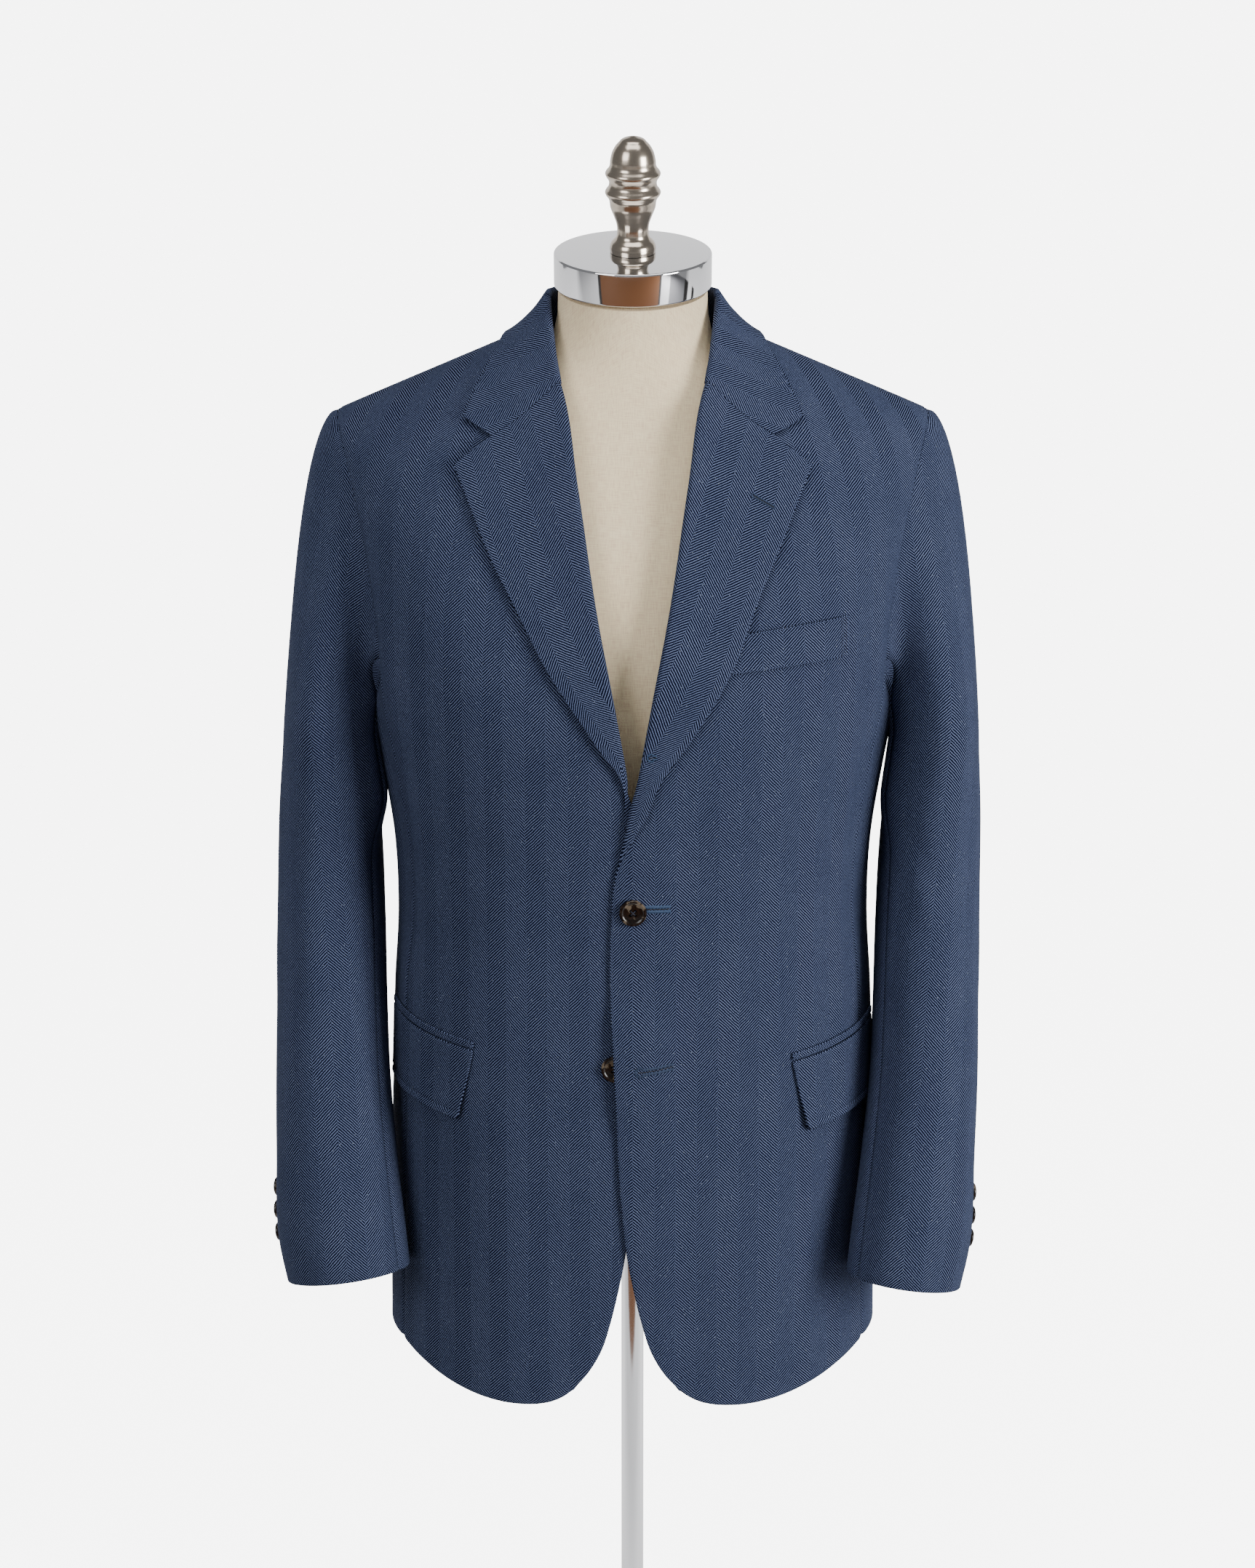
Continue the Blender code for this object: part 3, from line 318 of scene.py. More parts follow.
EDGE = Sizes(
    ("height", "from_middle"),
    (
        (0.0139, 0.0400), (0.0282, 0.0285), (0.0449, 0.0192), (0.0685, 0.0118),
        (0.0915, 0.0064), (0.1258, 0.0000), (0.1700, -0.0046), (0.2500, -0.0083),
        (0.3807, -0.0116), (0.4215, -0.0080), (0.4441, -0.0008), (0.4819, 0.0045),
        (0.5459, 0.0160), (0.6138, 0.0292), (0.7032, 0.0433), (0.7675, 0.0545),
        (0.7900, 0.0630), (0.8095, 0.0750),
    ),
)
HEM = Sizes(
    ("from_middle", "height"),
    (
        (0.040, 0.0139), (0.047, 0.0080), (0.056, 0.0030), (0.066, 0.0000), (0.080, -0.0018),
        (0.095, -0.0020), (0.110, -0.0005), (0.145, 0.0085), (0.165, 0.0165), (0.182, 0.0233),
        (0.200, 0.0262),
    ),
)
# Soft troughs and ridges of the worn cloth on the fronts, sides and back, along straight lines
CREASES = (
    # around, height, around, height, width, lift
    (0.060, 0.400, 0.250, 0.450, 0.016, -0.0010),
    (0.050, 0.375, 0.270, 0.345, 0.018, -0.0008),
    (0.330, 0.330, 0.350, 0.520, 0.020, -0.0012),
    (0.300, 0.500, 0.340, 0.620, 0.014, 0.0010),
    (0.390, 0.340, 0.400, 0.600, 0.022, -0.0045),
    (0.120, 0.020, 0.150, 0.230, 0.022, 0.0011),
    (0.250, 0.020, 0.270, 0.220, 0.024, -0.0010),
    (0.440, 0.030, 0.450, 0.240, 0.022, 0.0012),
    (0.560, 0.030, 0.545, 0.300, 0.020, -0.0012),
    (0.640, 0.330, 0.800, 0.380, 0.016, -0.0010),
    (0.700, 0.030, 0.730, 0.260, 0.024, 0.0012),
    (0.690, 0.480, 0.650, 0.620, 0.014, -0.0014),
    (0.740, 0.560, 0.690, 0.720, 0.018, 0.0012),
    (0.880, 0.250, 0.940, 0.480, 0.022, -0.0010),
    (0.830, 0.700, 0.960, 0.735, 0.014, -0.0008),
)
ROW_SHARES = np.array([
    0, 0.026, 0.06, 0.1, 0.145, 0.2, 0.27, 0.35, 0.42,
    0.475, 0.54, 0.61, 0.67, 0.735, 0.78, 0.845, 0.92, 1.0,
])


def unit(vectors):
    return vectors / np.linalg.norm(vectors, axis=-1, keepdims=True)


def smooth(value):
    value = np.clip(value, 0.0, 1.0)
    return value * value * (3 - 2 * value)


def mix(first, second, part):
    return first + (second - first) * part


def lengths_along(points, axis):
    """Length from the first border of a grid to each place, along its rows or columns."""
    first = points[:1] if axis == 0 else points[:, :1]
    return np.cumsum(np.linalg.norm(np.diff(points, axis=axis, prepend=first), axis=2), axis=axis)


def shoulder_height(x):
    return NECK_HEIGHT - (np.abs(x) - NECK_X) * SHOULDER_SLOPE


def body(around, height):
    """Point of the coat's outer surface: around is 0 in front, 0.5 at the side and 1 behind."""
    angle = np.abs(around) * math.pi
    across = np.abs(np.sin(angle)) ** (2 / SQUARENESS)
    deep = np.cos(angle)
    forward = np.sign(deep) * np.abs(deep) ** (2 / SQUARENESS)
    over_middle = np.where(np.abs(around) > 1, -1.0, 1.0)
    x = np.sign(around) * over_middle * across * BODY.at(height, "half_width")
    depth = np.where(deep > 0, BODY.at(height, "front"), BODY.at(height, "back"))
    share = np.clip((shoulder_height(x) - height) / BEND.at(np.abs(x), "reach"), 0.0, 1.0)
    fall = (1 - (1 - share) ** SHOULDER_ROUND) ** (1 / SHOULDER_ROUND)
    return np.stack([x, SHOULDER_Y - depth * forward * fall, height + 0 * x], axis=-1)


def around_of(x, height, back=False):
    share = np.clip(np.abs(x) / BODY.at(height, "half_width"), 0.0, 1.0)
    turn = np.arcsin(share ** (SQUARENESS / 2)) / math.pi
    if back:
        turn = 1 - turn
    return np.where(x < 0, -turn, turn)


def top_of(around):
    height = np.full_like(around, NECK_HEIGHT, dtype=float)
    for _ in range(25):
        height = shoulder_height(body(around, height - 1e-6)[..., 0])
    return height


def creases_lift(creases, ring, steep, place, height):
    """How far the worn cloth stands off or sinks below its even surface, by a table of creases.
    ring is the length of cloth for one unit of place, and steep how fast a crease ends."""
    lift = np.zeros(np.broadcast(place, height).shape)
    for place_1, height_1, place_2, height_2, width, rise in creases:
        along = np.array([(place_2 - place_1) * ring, height_2 - height_1])
        length = np.hypot(*along)
        along = along / length
        x, y = (place - place_1) * ring, height - height_1
        far = (x * along[0] + y * along[1]) / length
        side = x * along[1] - y * along[0]
        ends = smooth(far * steep + 0.3) * smooth((1 - far) * steep + 0.3)
        lift = lift + rise * np.exp(-((side / width) ** 2)) * ends
    return lift


def standing_off(side, x, height):
    """How far the left front stands off the body where it laps over the right front."""
    if side < 0:
        return np.zeros_like(x)
    over = smooth((LAP_EDGE - x) / LAP_EASE)
    lap = LAP * over * smooth((LAP_TOP - height) / 0.045)
    apart = np.hypot(x - BUTTON_2[0], height - BUTTON_2[1])
    return lap + UNDER_BUTTON * smooth(1.6 - apart / 0.038) * over


def surface(around, height, lift=0.0):
    """Points and outward normals of the body, or of a layer lifted off it."""
    around, height = np.broadcast_arrays(np.asarray(around, float), np.asarray(height, float))
    lift = np.broadcast_to(lift, around.shape)
    step = 1e-5
    top = top_of(around)
    up = np.minimum(height + step, top)
    down = np.minimum(height, top) - step
    across = body(around + step, down + step / 2) - body(around - step, down + step / 2)
    normal = unit(np.cross(across, body(around, up) - body(around, down)))
    place = body(around, np.minimum(height, top))
    raised = lift + creases_lift(CREASES, AROUND_LENGTH, 4, np.abs(around), height)
    return place + normal * raised[..., None], normal


def on_front(side, x, height, lift=0.0):
    x = np.asarray(x, float)
    height = np.asarray(height, float)
    return surface(around_of(x, height), height, standing_off(side, x, height) + lift)


FLAT_AROUND = np.linspace(0.0, 1.1, 111)
FLAT_HEIGHT = np.linspace(-0.02, 0.86, 111)
FLAT_ORIGIN = 24          # row of the table, at a height of about 0.17, where lengths start


def flat_table():
    """Length of cloth round the body and up it, at every place of a table."""
    around, height = np.meshgrid(FLAT_AROUND, FLAT_HEIGHT)
    points = body(around, height)
    up = lengths_along(points, 0)
    return lengths_along(points, 1), up - up[FLAT_ORIGIN]


LENGTH_ROUND, LENGTH_UP = flat_table()


def laid_flat(around, height):
    """Where a place of the body lies on its cloth before sewing, in metres across and up."""
    turn = np.abs(around) / FLAT_AROUND[1]
    high = (height - FLAT_HEIGHT[0]) / (FLAT_HEIGHT[1] - FLAT_HEIGHT[0])
    i = np.clip(np.floor(high).astype(int), 0, len(FLAT_HEIGHT) - 2)
    j = np.clip(np.floor(turn).astype(int), 0, len(FLAT_AROUND) - 2)
    high = high - i
    turn = turn - j
    found = []
    for table in (LENGTH_ROUND, LENGTH_UP):
        low_row = mix(table[i, j], table[i, j + 1], turn)
        high_row = mix(table[i + 1, j], table[i + 1, j + 1], turn)
        found.append(mix(low_row, high_row, high))
    across, up = found
    leaning = GRAIN_LEAN * np.clip(up - GRAIN_LEAN_START, 0.0, None) ** 2
    return np.stack([np.sign(around) * (across + leaning), up], axis=-1)


def laid_from(middle, around, height):
    """Flat layout of a panel whose grain runs straight along its own middle line."""
    side = np.where(around < 0, -1.0, 1.0)
    straight = side * middle + 0 * around
    flat = laid_flat(around, height)
    shift = laid_flat(straight, 0 * height + GRAIN_START) - laid_flat(straight, height)
    return np.stack([flat[..., 0] + shift[..., 0], flat[..., 1]], axis=-1)


def eased(flat, points, loose, rounds=EASE_ROUNDS):
    """Moves the loose places of a flat layout until its lengths are those of the sewn cloth."""
    links = (
        ((slice(None), slice(1, None)), (slice(None), slice(None, -1))),
        ((slice(1, None), slice(None)), (slice(None, -1), slice(None))),
        ((slice(1, None), slice(1, None)), (slice(None, -1), slice(None, -1))),
        ((slice(1, None), slice(None, -1)), (slice(None, -1), slice(1, None))),
    )
    lengths = [np.linalg.norm(points[a] - points[b], axis=-1, keepdims=True) for a, b in links]
    flat = flat.copy()
    for _ in range(rounds):
        push = np.zeros_like(flat)
        for (a, b), length in zip(links, lengths):
            way = flat[a] - flat[b]
            now = np.maximum(np.linalg.norm(way, axis=-1, keepdims=True), 1e-9)
            wrong = way * (1 - length / now) / 2
            push[a] -= wrong
            push[b] += wrong
        flat += push * loose[..., None] / 4
    return flat


def eased_widely(flat, points):
    """Eases a layout first at few of its places, for its long bends, and then everywhere."""
    rows, columns = flat.shape[:2]
    some_rows = np.unique(np.linspace(0, rows - 1, rows // COARSE + 2).round().astype(int))
    some_columns = np.unique(np.linspace(0, columns - 1, columns // COARSE + 2).round().astype(int))
    few = np.ix_(some_rows, some_columns)
    loose = np.ones((len(some_rows), len(some_columns)))
    moved = eased(flat[few], points[few], loose, LONG_ROUNDS) - flat[few]
    flat = flat.copy()
    for axis in (0, 1):
        tall = [np.interp(np.arange(rows), some_rows, line) for line in moved[..., axis].T]
        wide = [np.interp(np.arange(columns), some_columns, line) for line in np.array(tall).T]
        flat[..., axis] += np.array(wide)
    return eased(flat, points, np.ones((rows, columns)))


def grid_normals(points):
    return unit(np.cross(np.gradient(points, axis=1), np.gradient(points, axis=0)))


BORDERS = ("first_column", "last_column", "first_row", "last_row")


def draw_in(points, rolls):
    """Moves each border of a grid inwards by half a seam's gap and by how far it will bulge."""
    moved = points.copy()
    gaps = {border: SEAM / 2 + rolls[border] for border in BORDERS}
    moved[:, 0] += gaps["first_column"] * unit(points[:, 1] - points[:, 0])
    moved[:, -1] += gaps["last_column"] * unit(points[:, -2] - points[:, -1])
    moved[0] += gaps["first_row"] * unit(points[1] - points[0])
    moved[-1] += gaps["last_row"] * unit(points[-2] - points[-1])
    return moved


def sewn(points, normals, seams):
    """Sinks a grid of points along the borders where it is sewn to its neighbours."""
    ways = {"first_column": lengths_along(points, 1), "first_row": lengths_along(points, 0)}
    ways["last_column"] = ways["first_column"][:, -1:] - ways["first_column"]
    ways["last_row"] = ways["first_row"][-1:] - ways["first_row"]
    sunk = np.zeros(points.shape[:2])
    for border in seams:
        sunk = np.maximum(sunk, SEAM_DEPTH * np.exp(-((ways[border] / SEAM_SPREAD) ** 2)))
    return points - normals * sunk[..., None]


def ring_of(rows, columns, rolls):
    """Grid places round a grid's border, and how far the edge bulges at each."""
    ring = [(0, j, rolls["first_row"]) for j in range(columns)]
    ring += [(i, columns - 1, rolls["last_column"]) for i in range(1, rows)]
    ring += [(rows - 1, j, rolls["last_row"]) for j in range(columns - 2, -1, -1)]
    ring += [(i, 0, rolls["first_column"]) for i in range(rows - 2, 0, -1)]
    return ring


def cloth_piece(name, outer, inner, flat, material, seams):
    """Closed wall of cloth between two skins with rolled edges, and its flat layout as a UV map."""
    rolls = {border: SEAM_ROLL if border in seams else EDGE_ROLL for border in BORDERS}
    outer = draw_in(outer, rolls)
    inner = draw_in(inner, rolls)
    rows, columns = outer.shape[:2]
    count = rows * columns
    index = np.arange(count).reshape(rows, columns)
    low = index[:-1, :-1].ravel()
    quads = np.stack([low, low + 1, low + 1 + columns, low + columns], axis=1)
    faces = np.concatenate([quads, quads[:, ::-1] + count])
    ring = ring_of(rows, columns, rolls)
    ring_index = np.array([i * columns + j for i, j, _ in ring])
    bulge = np.array([roll for _, _, roll in ring])[:, None]
    middle = (outer + inner) / 2
    within = np.array([(min(max(i, 1), rows - 2), min(max(j, 1), columns - 2)) for i, j, _ in ring])
    border = middle.reshape(-1, 3)[ring_index]
    away = unit(border - middle[within[:, 0], within[:, 1]])
    half = (outer - inner).reshape(-1, 3)[ring_index] / 2
    roll = []
    for turn in (45, 90, 135):
        angle = math.radians(turn)
        roll.append(border + half * math.cos(angle) + away * bulge * math.sin(angle))
    points = np.concatenate([outer.reshape(-1, 3), inner.reshape(-1, 3)] + roll)
    around = len(ring)
    edge_lanes = [2 * count + k * around + np.arange(around) for k in range(3)]
    lanes = [ring_index] + edge_lanes + [ring_index + count]
    for first, second in zip(lanes, lanes[1:]):
        strip = np.stack([np.roll(first, -1), first, second, np.roll(second, -1)], axis=1)
        faces = np.concatenate([faces, strip])
    points[:, 2] += HEM_ABOVE_FLOOR
    mesh = plain_mesh(name, points.tolist(), faces.tolist(), material)
    layout = np.concatenate([flat.reshape(-1, 2)] * 2 + [flat.reshape(-1, 2)[ring_index]] * 3)
    layer = mesh.uv_layers.new(name="laid_flat")
    corner = np.empty(len(mesh.loops), dtype=np.int32)
    mesh.loops.foreach_get("vertex_index", corner)
    layer.data.foreach_set("uv", layout[corner].ravel())
    shape = bmesh.new()
    shape.from_mesh(mesh)
    if shape.calc_volume(signed=True) < 0:
        bmesh.ops.reverse_faces(shape, faces=shape.faces)
    shape.to_mesh(mesh)
    shape.free()
    mesh.shade_smooth()
    return placed(name, mesh)


def declare_cloth(piece, flat, node):
    """Attaches a cloth piece and hides its part; the cut size worked out from its layout is unused.
    """
    across = flat[..., 0].max() - flat[..., 0].min()
    up = flat[..., 1].max() - flat[..., 1].min()
    a = flat[1:, 1:] - flat[:-1, :-1]
    b = flat[1:, :-1] - flat[:-1, 1:]
    area = float(np.abs(a[..., 0] * b[..., 1] - a[..., 1] * b[..., 0]).sum() / 2)
    area = min(max(area, 0.301 * across * up), across * up)
    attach(piece, "root")
    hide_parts(node)


def make_panel(name, points, normals, flat, seams):
    """A panel of wool from its outer points, sewn to its neighbours along the named borders."""
    outer = sewn(points, normals, seams)
    piece = cloth_piece("cloth_" + name, outer, outer - normals * CLOTH, flat, WOOL, seams)
    declare_cloth(piece, flat, name)
    return piece


def math_node(tree, operation, *values):
    """Adds a math node fed by sockets or numbers and returns its output."""
    node = tree.nodes.new("ShaderNodeMath")
    node.operation = operation
    for socket, value in zip(node.inputs, values):
        feed(tree, socket, value)
    return node.outputs[0]


def noise_node(tree, place, scale, detail):
    node = tree.nodes.new("ShaderNodeTexNoise")
    node.inputs["Scale"].default_value = scale
    node.inputs["Detail"].default_value = detail
    tree.links.new(place, node.inputs["Vector"])
    return node.outputs["Fac"]


def ramp_node(tree, value, low, high):
    node = range_node(tree, value, (low, high))
    node.interpolation_type = "SMOOTHSTEP"
    return node.outputs["Result"]


def raised_by(tree, shader, height, strength, distance):
    """Gives a shader the relief of a height."""
    bump = tree.nodes.new("ShaderNodeBump")
    bump.inputs["Strength"].default_value = strength
    bump.inputs["Distance"].default_value = distance
    tree.links.new(height, bump.inputs["Height"])
    tree.links.new(bump.outputs["Normal"], shader.inputs["Normal"])


def laid_place(tree):
    """Place on the cloth laid flat, in metres."""
    layout = tree.nodes.new("ShaderNodeUVMap")
    layout.uv_map = "laid_flat"
    return layout.outputs["UV"]


def herringbone_group():
    """Ribs of a herringbone weave: where the light yarn shows, its relief, flecks, clouds, and
    which columns lean to the left."""
    tree = bpy.data.node_groups.new("herringbone", "ShaderNodeTree")
    for name, kind in (("Place", "Vector"), ("Column", "Float"), ("Rib", "Float")):
        tree.interface.new_socket(name, in_out="INPUT", socket_type="NodeSocket" + kind)
    for name in ("Yarn", "Relief", "Fleck", "Cloud", "Stripe"):
        tree.interface.new_socket(name, in_out="OUTPUT", socket_type="NodeSocketFloat")
    entry = tree.nodes.new("NodeGroupInput")
    leave = tree.nodes.new("NodeGroupOutput")
    apart = tree.nodes.new("ShaderNodeSeparateXYZ")
    place, column = entry.outputs["Place"], entry.outputs["Column"]
    tree.links.new(place, apart.inputs[0])
    across = math_node(tree, "DIVIDE", apart.outputs["X"], column)
    rise = math_node(tree, "MULTIPLY", math_node(tree, "PINGPONG", across, 1.0), column)
    leaning = math_node(tree, "FLOORED_MODULO", math_node(tree, "FLOOR", across), 2.0)
    jump = math_node(tree, "MULTIPLY", leaning, 0.5)
    tree.links.new(jump, leave.inputs["Stripe"])
    wander = math_node(tree, "MULTIPLY", noise_node(tree, place, 180.0, 1.0), 0.5)
    climb = math_node(tree, "ADD", apart.outputs["Y"], rise)
    high = math_node(tree, "DIVIDE", climb, entry.outputs["Rib"])
    phase = math_node(tree, "ADD", math_node(tree, "ADD", high, jump), wander)
    wave = math_node(tree, "SINE", math_node(tree, "MULTIPLY", phase, 2 * math.pi))
    yarn = ramp_node(tree, wave, -0.30, 0.60)
    grain = noise_node(tree, place, 1500.0, 1.0)
    broken = math_node(tree, "MULTIPLY", yarn, ramp_node(tree, grain, 0.14, 0.60))
    tree.links.new(broken, leave.inputs["Yarn"])
    relief = math_node(tree, "ADD", yarn, math_node(tree, "MULTIPLY", grain, 0.6))
    tree.links.new(relief, leave.inputs["Relief"])
    speck = ramp_node(tree, noise_node(tree, place, 900.0, 0.0), 0.79, 0.84)
    tree.links.new(speck, leave.inputs["Fleck"])
    tree.links.new(noise_node(tree, place, 22.0, 3.0), leave.inputs["Cloud"])
    return tree


COLUMN_WIDTH = 0.016
RIB_PITCH = 0.00235
NAVY_YARN = ((0.0003, 0.0009, 0.0074, 1.0), (0.0007, 0.0017, 0.0120, 1.0))
SKY_YARN = ((0.096, 0.124, 0.226, 1.0), (0.148, 0.182, 0.300, 1.0))
# Painted shade: the light yarn of the columns that lean to the left is mixed towards this blue
SHADED_COLUMN_BLUE = (0.040, 0.056, 0.110, 1.0)
PALE_SLUB = (0.20, 0.23, 0.28, 1.0)
LEFT_COLUMN_SHADE = 0.24             # painted shade: how much darker the columns that lean to the left are drawn


def wool_material():
    """Navy warp, sky blue weft and a few pale slubs in a soft napped finish."""
    material, shader = plain_material("blue_herringbone_wool", (0.05, 0.08, 0.15, 1.0), 0.88)
    tree = material.node_tree
    weave = tree.nodes.new("ShaderNodeGroup")
    weave.node_tree = herringbone_group()
    weave.inputs["Column"].default_value = COLUMN_WIDTH
    weave.inputs["Rib"].default_value = RIB_PITCH
    tree.links.new(laid_place(tree), weave.inputs["Place"])
    dark = colour_mix(tree, weave.outputs["Cloud"], *NAVY_YARN)
    light = colour_mix(tree, weave.outputs["Cloud"], *SKY_YARN)
    # Painted shade: the columns that lean to the left are drawn darker, as light falls on their
    # twill
    column_shade = math_node(tree, "MULTIPLY", weave.outputs["Stripe"], LEFT_COLUMN_SHADE)
    light = colour_mix(tree, column_shade, light, SHADED_COLUMN_BLUE)
    cloth = colour_mix(tree, weave.outputs["Yarn"], dark, light)
    cloth = colour_mix(tree, weave.outputs["Fleck"], cloth, PALE_SLUB)
    tree.links.new(cloth, shader.inputs["Base Color"])
    raised_by(tree, shader, weave.outputs["Relief"], 0.55, 0.0004)
    shader.inputs["Specular IOR Level"].default_value = 0.03
    return material


WOOL = wool_material()


def crowded(count, first=0.008):
    """Shares of a width from 0 to 1, closer together near both ends."""
    ends = first * np.array([0.0, 1.0, 2.0, 3.2, 5.0])
    between = np.linspace(first * 7.5, 1 - first * 7.5, count)
    return np.concatenate([ends, between, (1 - ends)[::-1]])


def row_heights(row, bottom, top):
    """Height of a long panel's rows, whole or part ones: row 17 is the chest line, 26 the top."""
    row = np.asarray(row, float)[:, None]
    lower = bottom + (CHEST_LINE - bottom) * np.interp(row, np.arange(CHEST_ROW + 1), ROW_SHARES)
    left = np.clip((TOP_ROW - row) / (TOP_ROW - CHEST_ROW), 0, 1) ** 1.7
    upper = top - (top - CHEST_LINE) * left
    return np.where(row <= CHEST_ROW, lower, upper)


def edge_x(side, height):
    """X of a front's inner edge. The fronts meet a little to the right below the break."""
    return -MEETING * smooth((MEETING_TOP - height) / 0.05) + side * EDGE.at(height, "from_middle")


def front(side, rows, shares, under=0.0):
    """Around and height of places on a front: its rows, and shares across from the inner edge.
    Below the lapels the right front reaches further under the left one."""
    shares = np.asarray(shares, float)
    corner = around_of(edge_x(side, EDGE.key[0]), EDGE.key[0])
    start = mix(corner, side * FRONT_SEAM, shares)
    bottom = np.full_like(shares, SIDE_HEM)
    for _ in range(8):
        bottom = HEM.at(np.abs(body(start, bottom)[:, 0] + MEETING * (1 - shares)), "height")
    top = np.full_like(shares, NECK_HEIGHT)
    for _ in range(25):
        inner = around_of(edge_x(side, top), top)
        top = shoulder_height(body(mix(inner, side * FRONT_SEAM, shares), top - 1e-6)[:, 0])
    height = row_heights(rows, bottom, top)
    reach = under * smooth((UNDERLAP_TOP - height) / 0.03)
    reach = reach * smooth((height - UNDERLAP_BOTTOM) / 0.10)
    inner = around_of(edge_x(side, height) + reach, height)
    return mix(inner, side * FRONT_SEAM, shares), height


def front_points(side, around, height, lift=0.0):
    """Points and normals of places on a front, by around and height."""
    return surface(around, height, standing_off(side, body(around, height)[..., 0], height) + lift)


def front_surface(side, rows, shares):
    return front_points(side, *front(side, rows, shares))


LONG_ROWS = np.concatenate([np.linspace(0, 25.5, 103), [25.65, 25.78, 25.88, 25.95, 26.0]])


def make_front(side, word):
    around, height = front(side, LONG_ROWS, crowded(34), 0.0 if side > 0 else UNDERLAP)
    points, normals = front_points(side, around, height)
    flat = eased(laid_flat(around, height), points, smooth((height - CHEST_LOOSE) / 0.05))
    seams = ("last_column", "last_row")
    return make_panel("front_" + word, points, normals, flat, seams)


LEFT_FRONT = make_front(1, "left")
make_front(-1, "right")


# Side bodies. A narrow panel under each arm from the hem up to the armhole, whose top edge is
# scooped for the under sleeve. It is sewn to the front along one side and the back on the other.

ARMHOLE_BOTTOM = 0.520
SIDE_GRAIN = 0.50         # the line round the body along which the weave runs straight


def side_panel(side, rows, shares):
    share = np.asarray(shares, float)[None, :]
    scoop = CHEST_LINE - (CHEST_LINE - ARMHOLE_BOTTOM) * (4 * share * (1 - share)) ** 0.8
    part = np.interp(rows, np.arange(CHEST_ROW + 1), ROW_SHARES)[:, None]
    height = SIDE_HEM + (scoop - SIDE_HEM) * part
    return side * mix(FRONT_SEAM, BACK_SEAM, share) + 0 * height, height


def make_side(side, word):
    around, height = side_panel(side, np.linspace(0, CHEST_ROW, 69), crowded(14, 0.012))
    points, normals = surface(around, height)
    flat = eased(laid_from(SIDE_GRAIN, around, height), points, np.ones(around.shape))
    seams = ("first_column", "last_column", "last_row")
    make_panel("side_" + word, points, normals, flat, seams)


for side, word in SIDES:
    make_side(side, word)


# Backs. Two panels joined by a seam down the middle. Below the waist the seam opens into a plain
# vent, where the left back laps over the right one.

VENT_TOP = 0.235
VENT_LAP = 0.032
VENT_EASE = 0.02
NAPE_DROP = 0.012
BACK_GRAIN = 0.80


def back_top(x):
    dip = NAPE_DROP * (1 - np.clip(np.abs(x) / NECK_X, 0, 1) ** 2)
    return np.where(np.abs(x) >= NECK_X, shoulder_height(x), NECK_HEIGHT - dip)


NECK_TURN = float(around_of(np.array(NECK_X), NECK_HEIGHT, back=True))


def back(side, rows, columns):
    """Around, height and lift of places on a back: column 0 is the side seam, 5 the neck point
    and 10 the middle."""
    share = np.interp(columns, (0, 5, 10), (BACK_SEAM, NECK_TURN, 1.0))
    top = np.full_like(share, NECK_HEIGHT)
    for _ in range(25):
        top = back_top(np.abs(body(share, top - 1e-6)[:, 0]))
    height = row_heights(rows, np.full_like(share, SIDE_HEM), top)
    around = side * share + 0 * height
    x = body(around, height)[..., 0]
    if side < 0:
        return around, height, 0 * height
    opened = smooth((VENT_TOP - height) / VENT_EASE)
    raised = smooth((VENT_TOP + 2 * VENT_EASE - height) / VENT_EASE)
    reach = VENT_LAP * opened * smooth((0.060 - x) / 0.045)
    x = x - reach
    moved = np.where(reach > 0, around_of(np.abs(x), height, back=True), around)
    moved = np.where(x < 0, 2 - moved, moved)
    return moved, height, LAP * raised * smooth((0.055 - x) / 0.03)


BACK_COLUMNS = np.concatenate([
    [0, 0.07, 0.14, 0.24, 0.38], np.linspace(0.6, 4.75, 15), np.linspace(5, 9.6, 20),
    [9.72, 9.82, 9.89, 9.95, 10.0],
])


def make_back(side, word):
    around, height, lift = back(side, LONG_ROWS, BACK_COLUMNS)
    points, normals = surface(around, height, lift)
    flat = eased(laid_from(BACK_GRAIN, around, height), points, np.ones(around.shape))
    joined = sewn(points, normals, ("last_column",))
    points = np.where((height > VENT_TOP)[..., None], joined, points)
    seams = ("first_column", "last_row")
    make_panel("back_" + word, points, normals, flat, seams)


for side, word in SIDES:
    make_back(side, word)


# Lapels. The top of each front turned back along a soft roll that dies out above the upper
# button. The weave follows the lapel's outer edge, and a notch parts it from the collar.

LAPEL = Sizes(
    ("roll_height", "edge_x", "edge_height"),
    (
        (0.4290, -0.0090, 0.4315),
        (0.4440, -0.0028, 0.4485),
        (0.4800, 0.0110, 0.4920),
        (0.5150, 0.0310, 0.5200),
        (0.5650, 0.0660, 0.5740),
        (0.6117, 0.0860, 0.6150),
        (0.6540, 0.1035, 0.6500),
        (0.6917, 0.1165, 0.6800),
        (0.7246, 0.1235, 0.6970),
        (0.7527, 0.1285, 0.7080),
        (0.7717, 0.1310, 0.7138),
    ),
)
LAPEL_CORNER = (0.1310, 0.7138)
NOTCH = (0.1030, 0.7350)
LAPEL_ROLL = 0.0012
LAPEL_AIR = 0.0024
LAPEL_LEAN = math.radians(24)
LAPEL_START = {1: 13.6, -1: 14.3}
LAPEL_WIDER = {1: 0.0085, -1: -0.0045}      # how much wider each is low down than the table
FOLD_STEPS = 8
LEAF_STEPS = 30
LEAF_SHARES = np.arange(1, LEAF_STEPS + 1) / LEAF_STEPS
NOTCH_STEP = 20
GORGE_DIP = 0.003         # the gorge seam hangs this much in its middle
WELT_BUMP = 0.0010        # the left lapel rides up over the welt


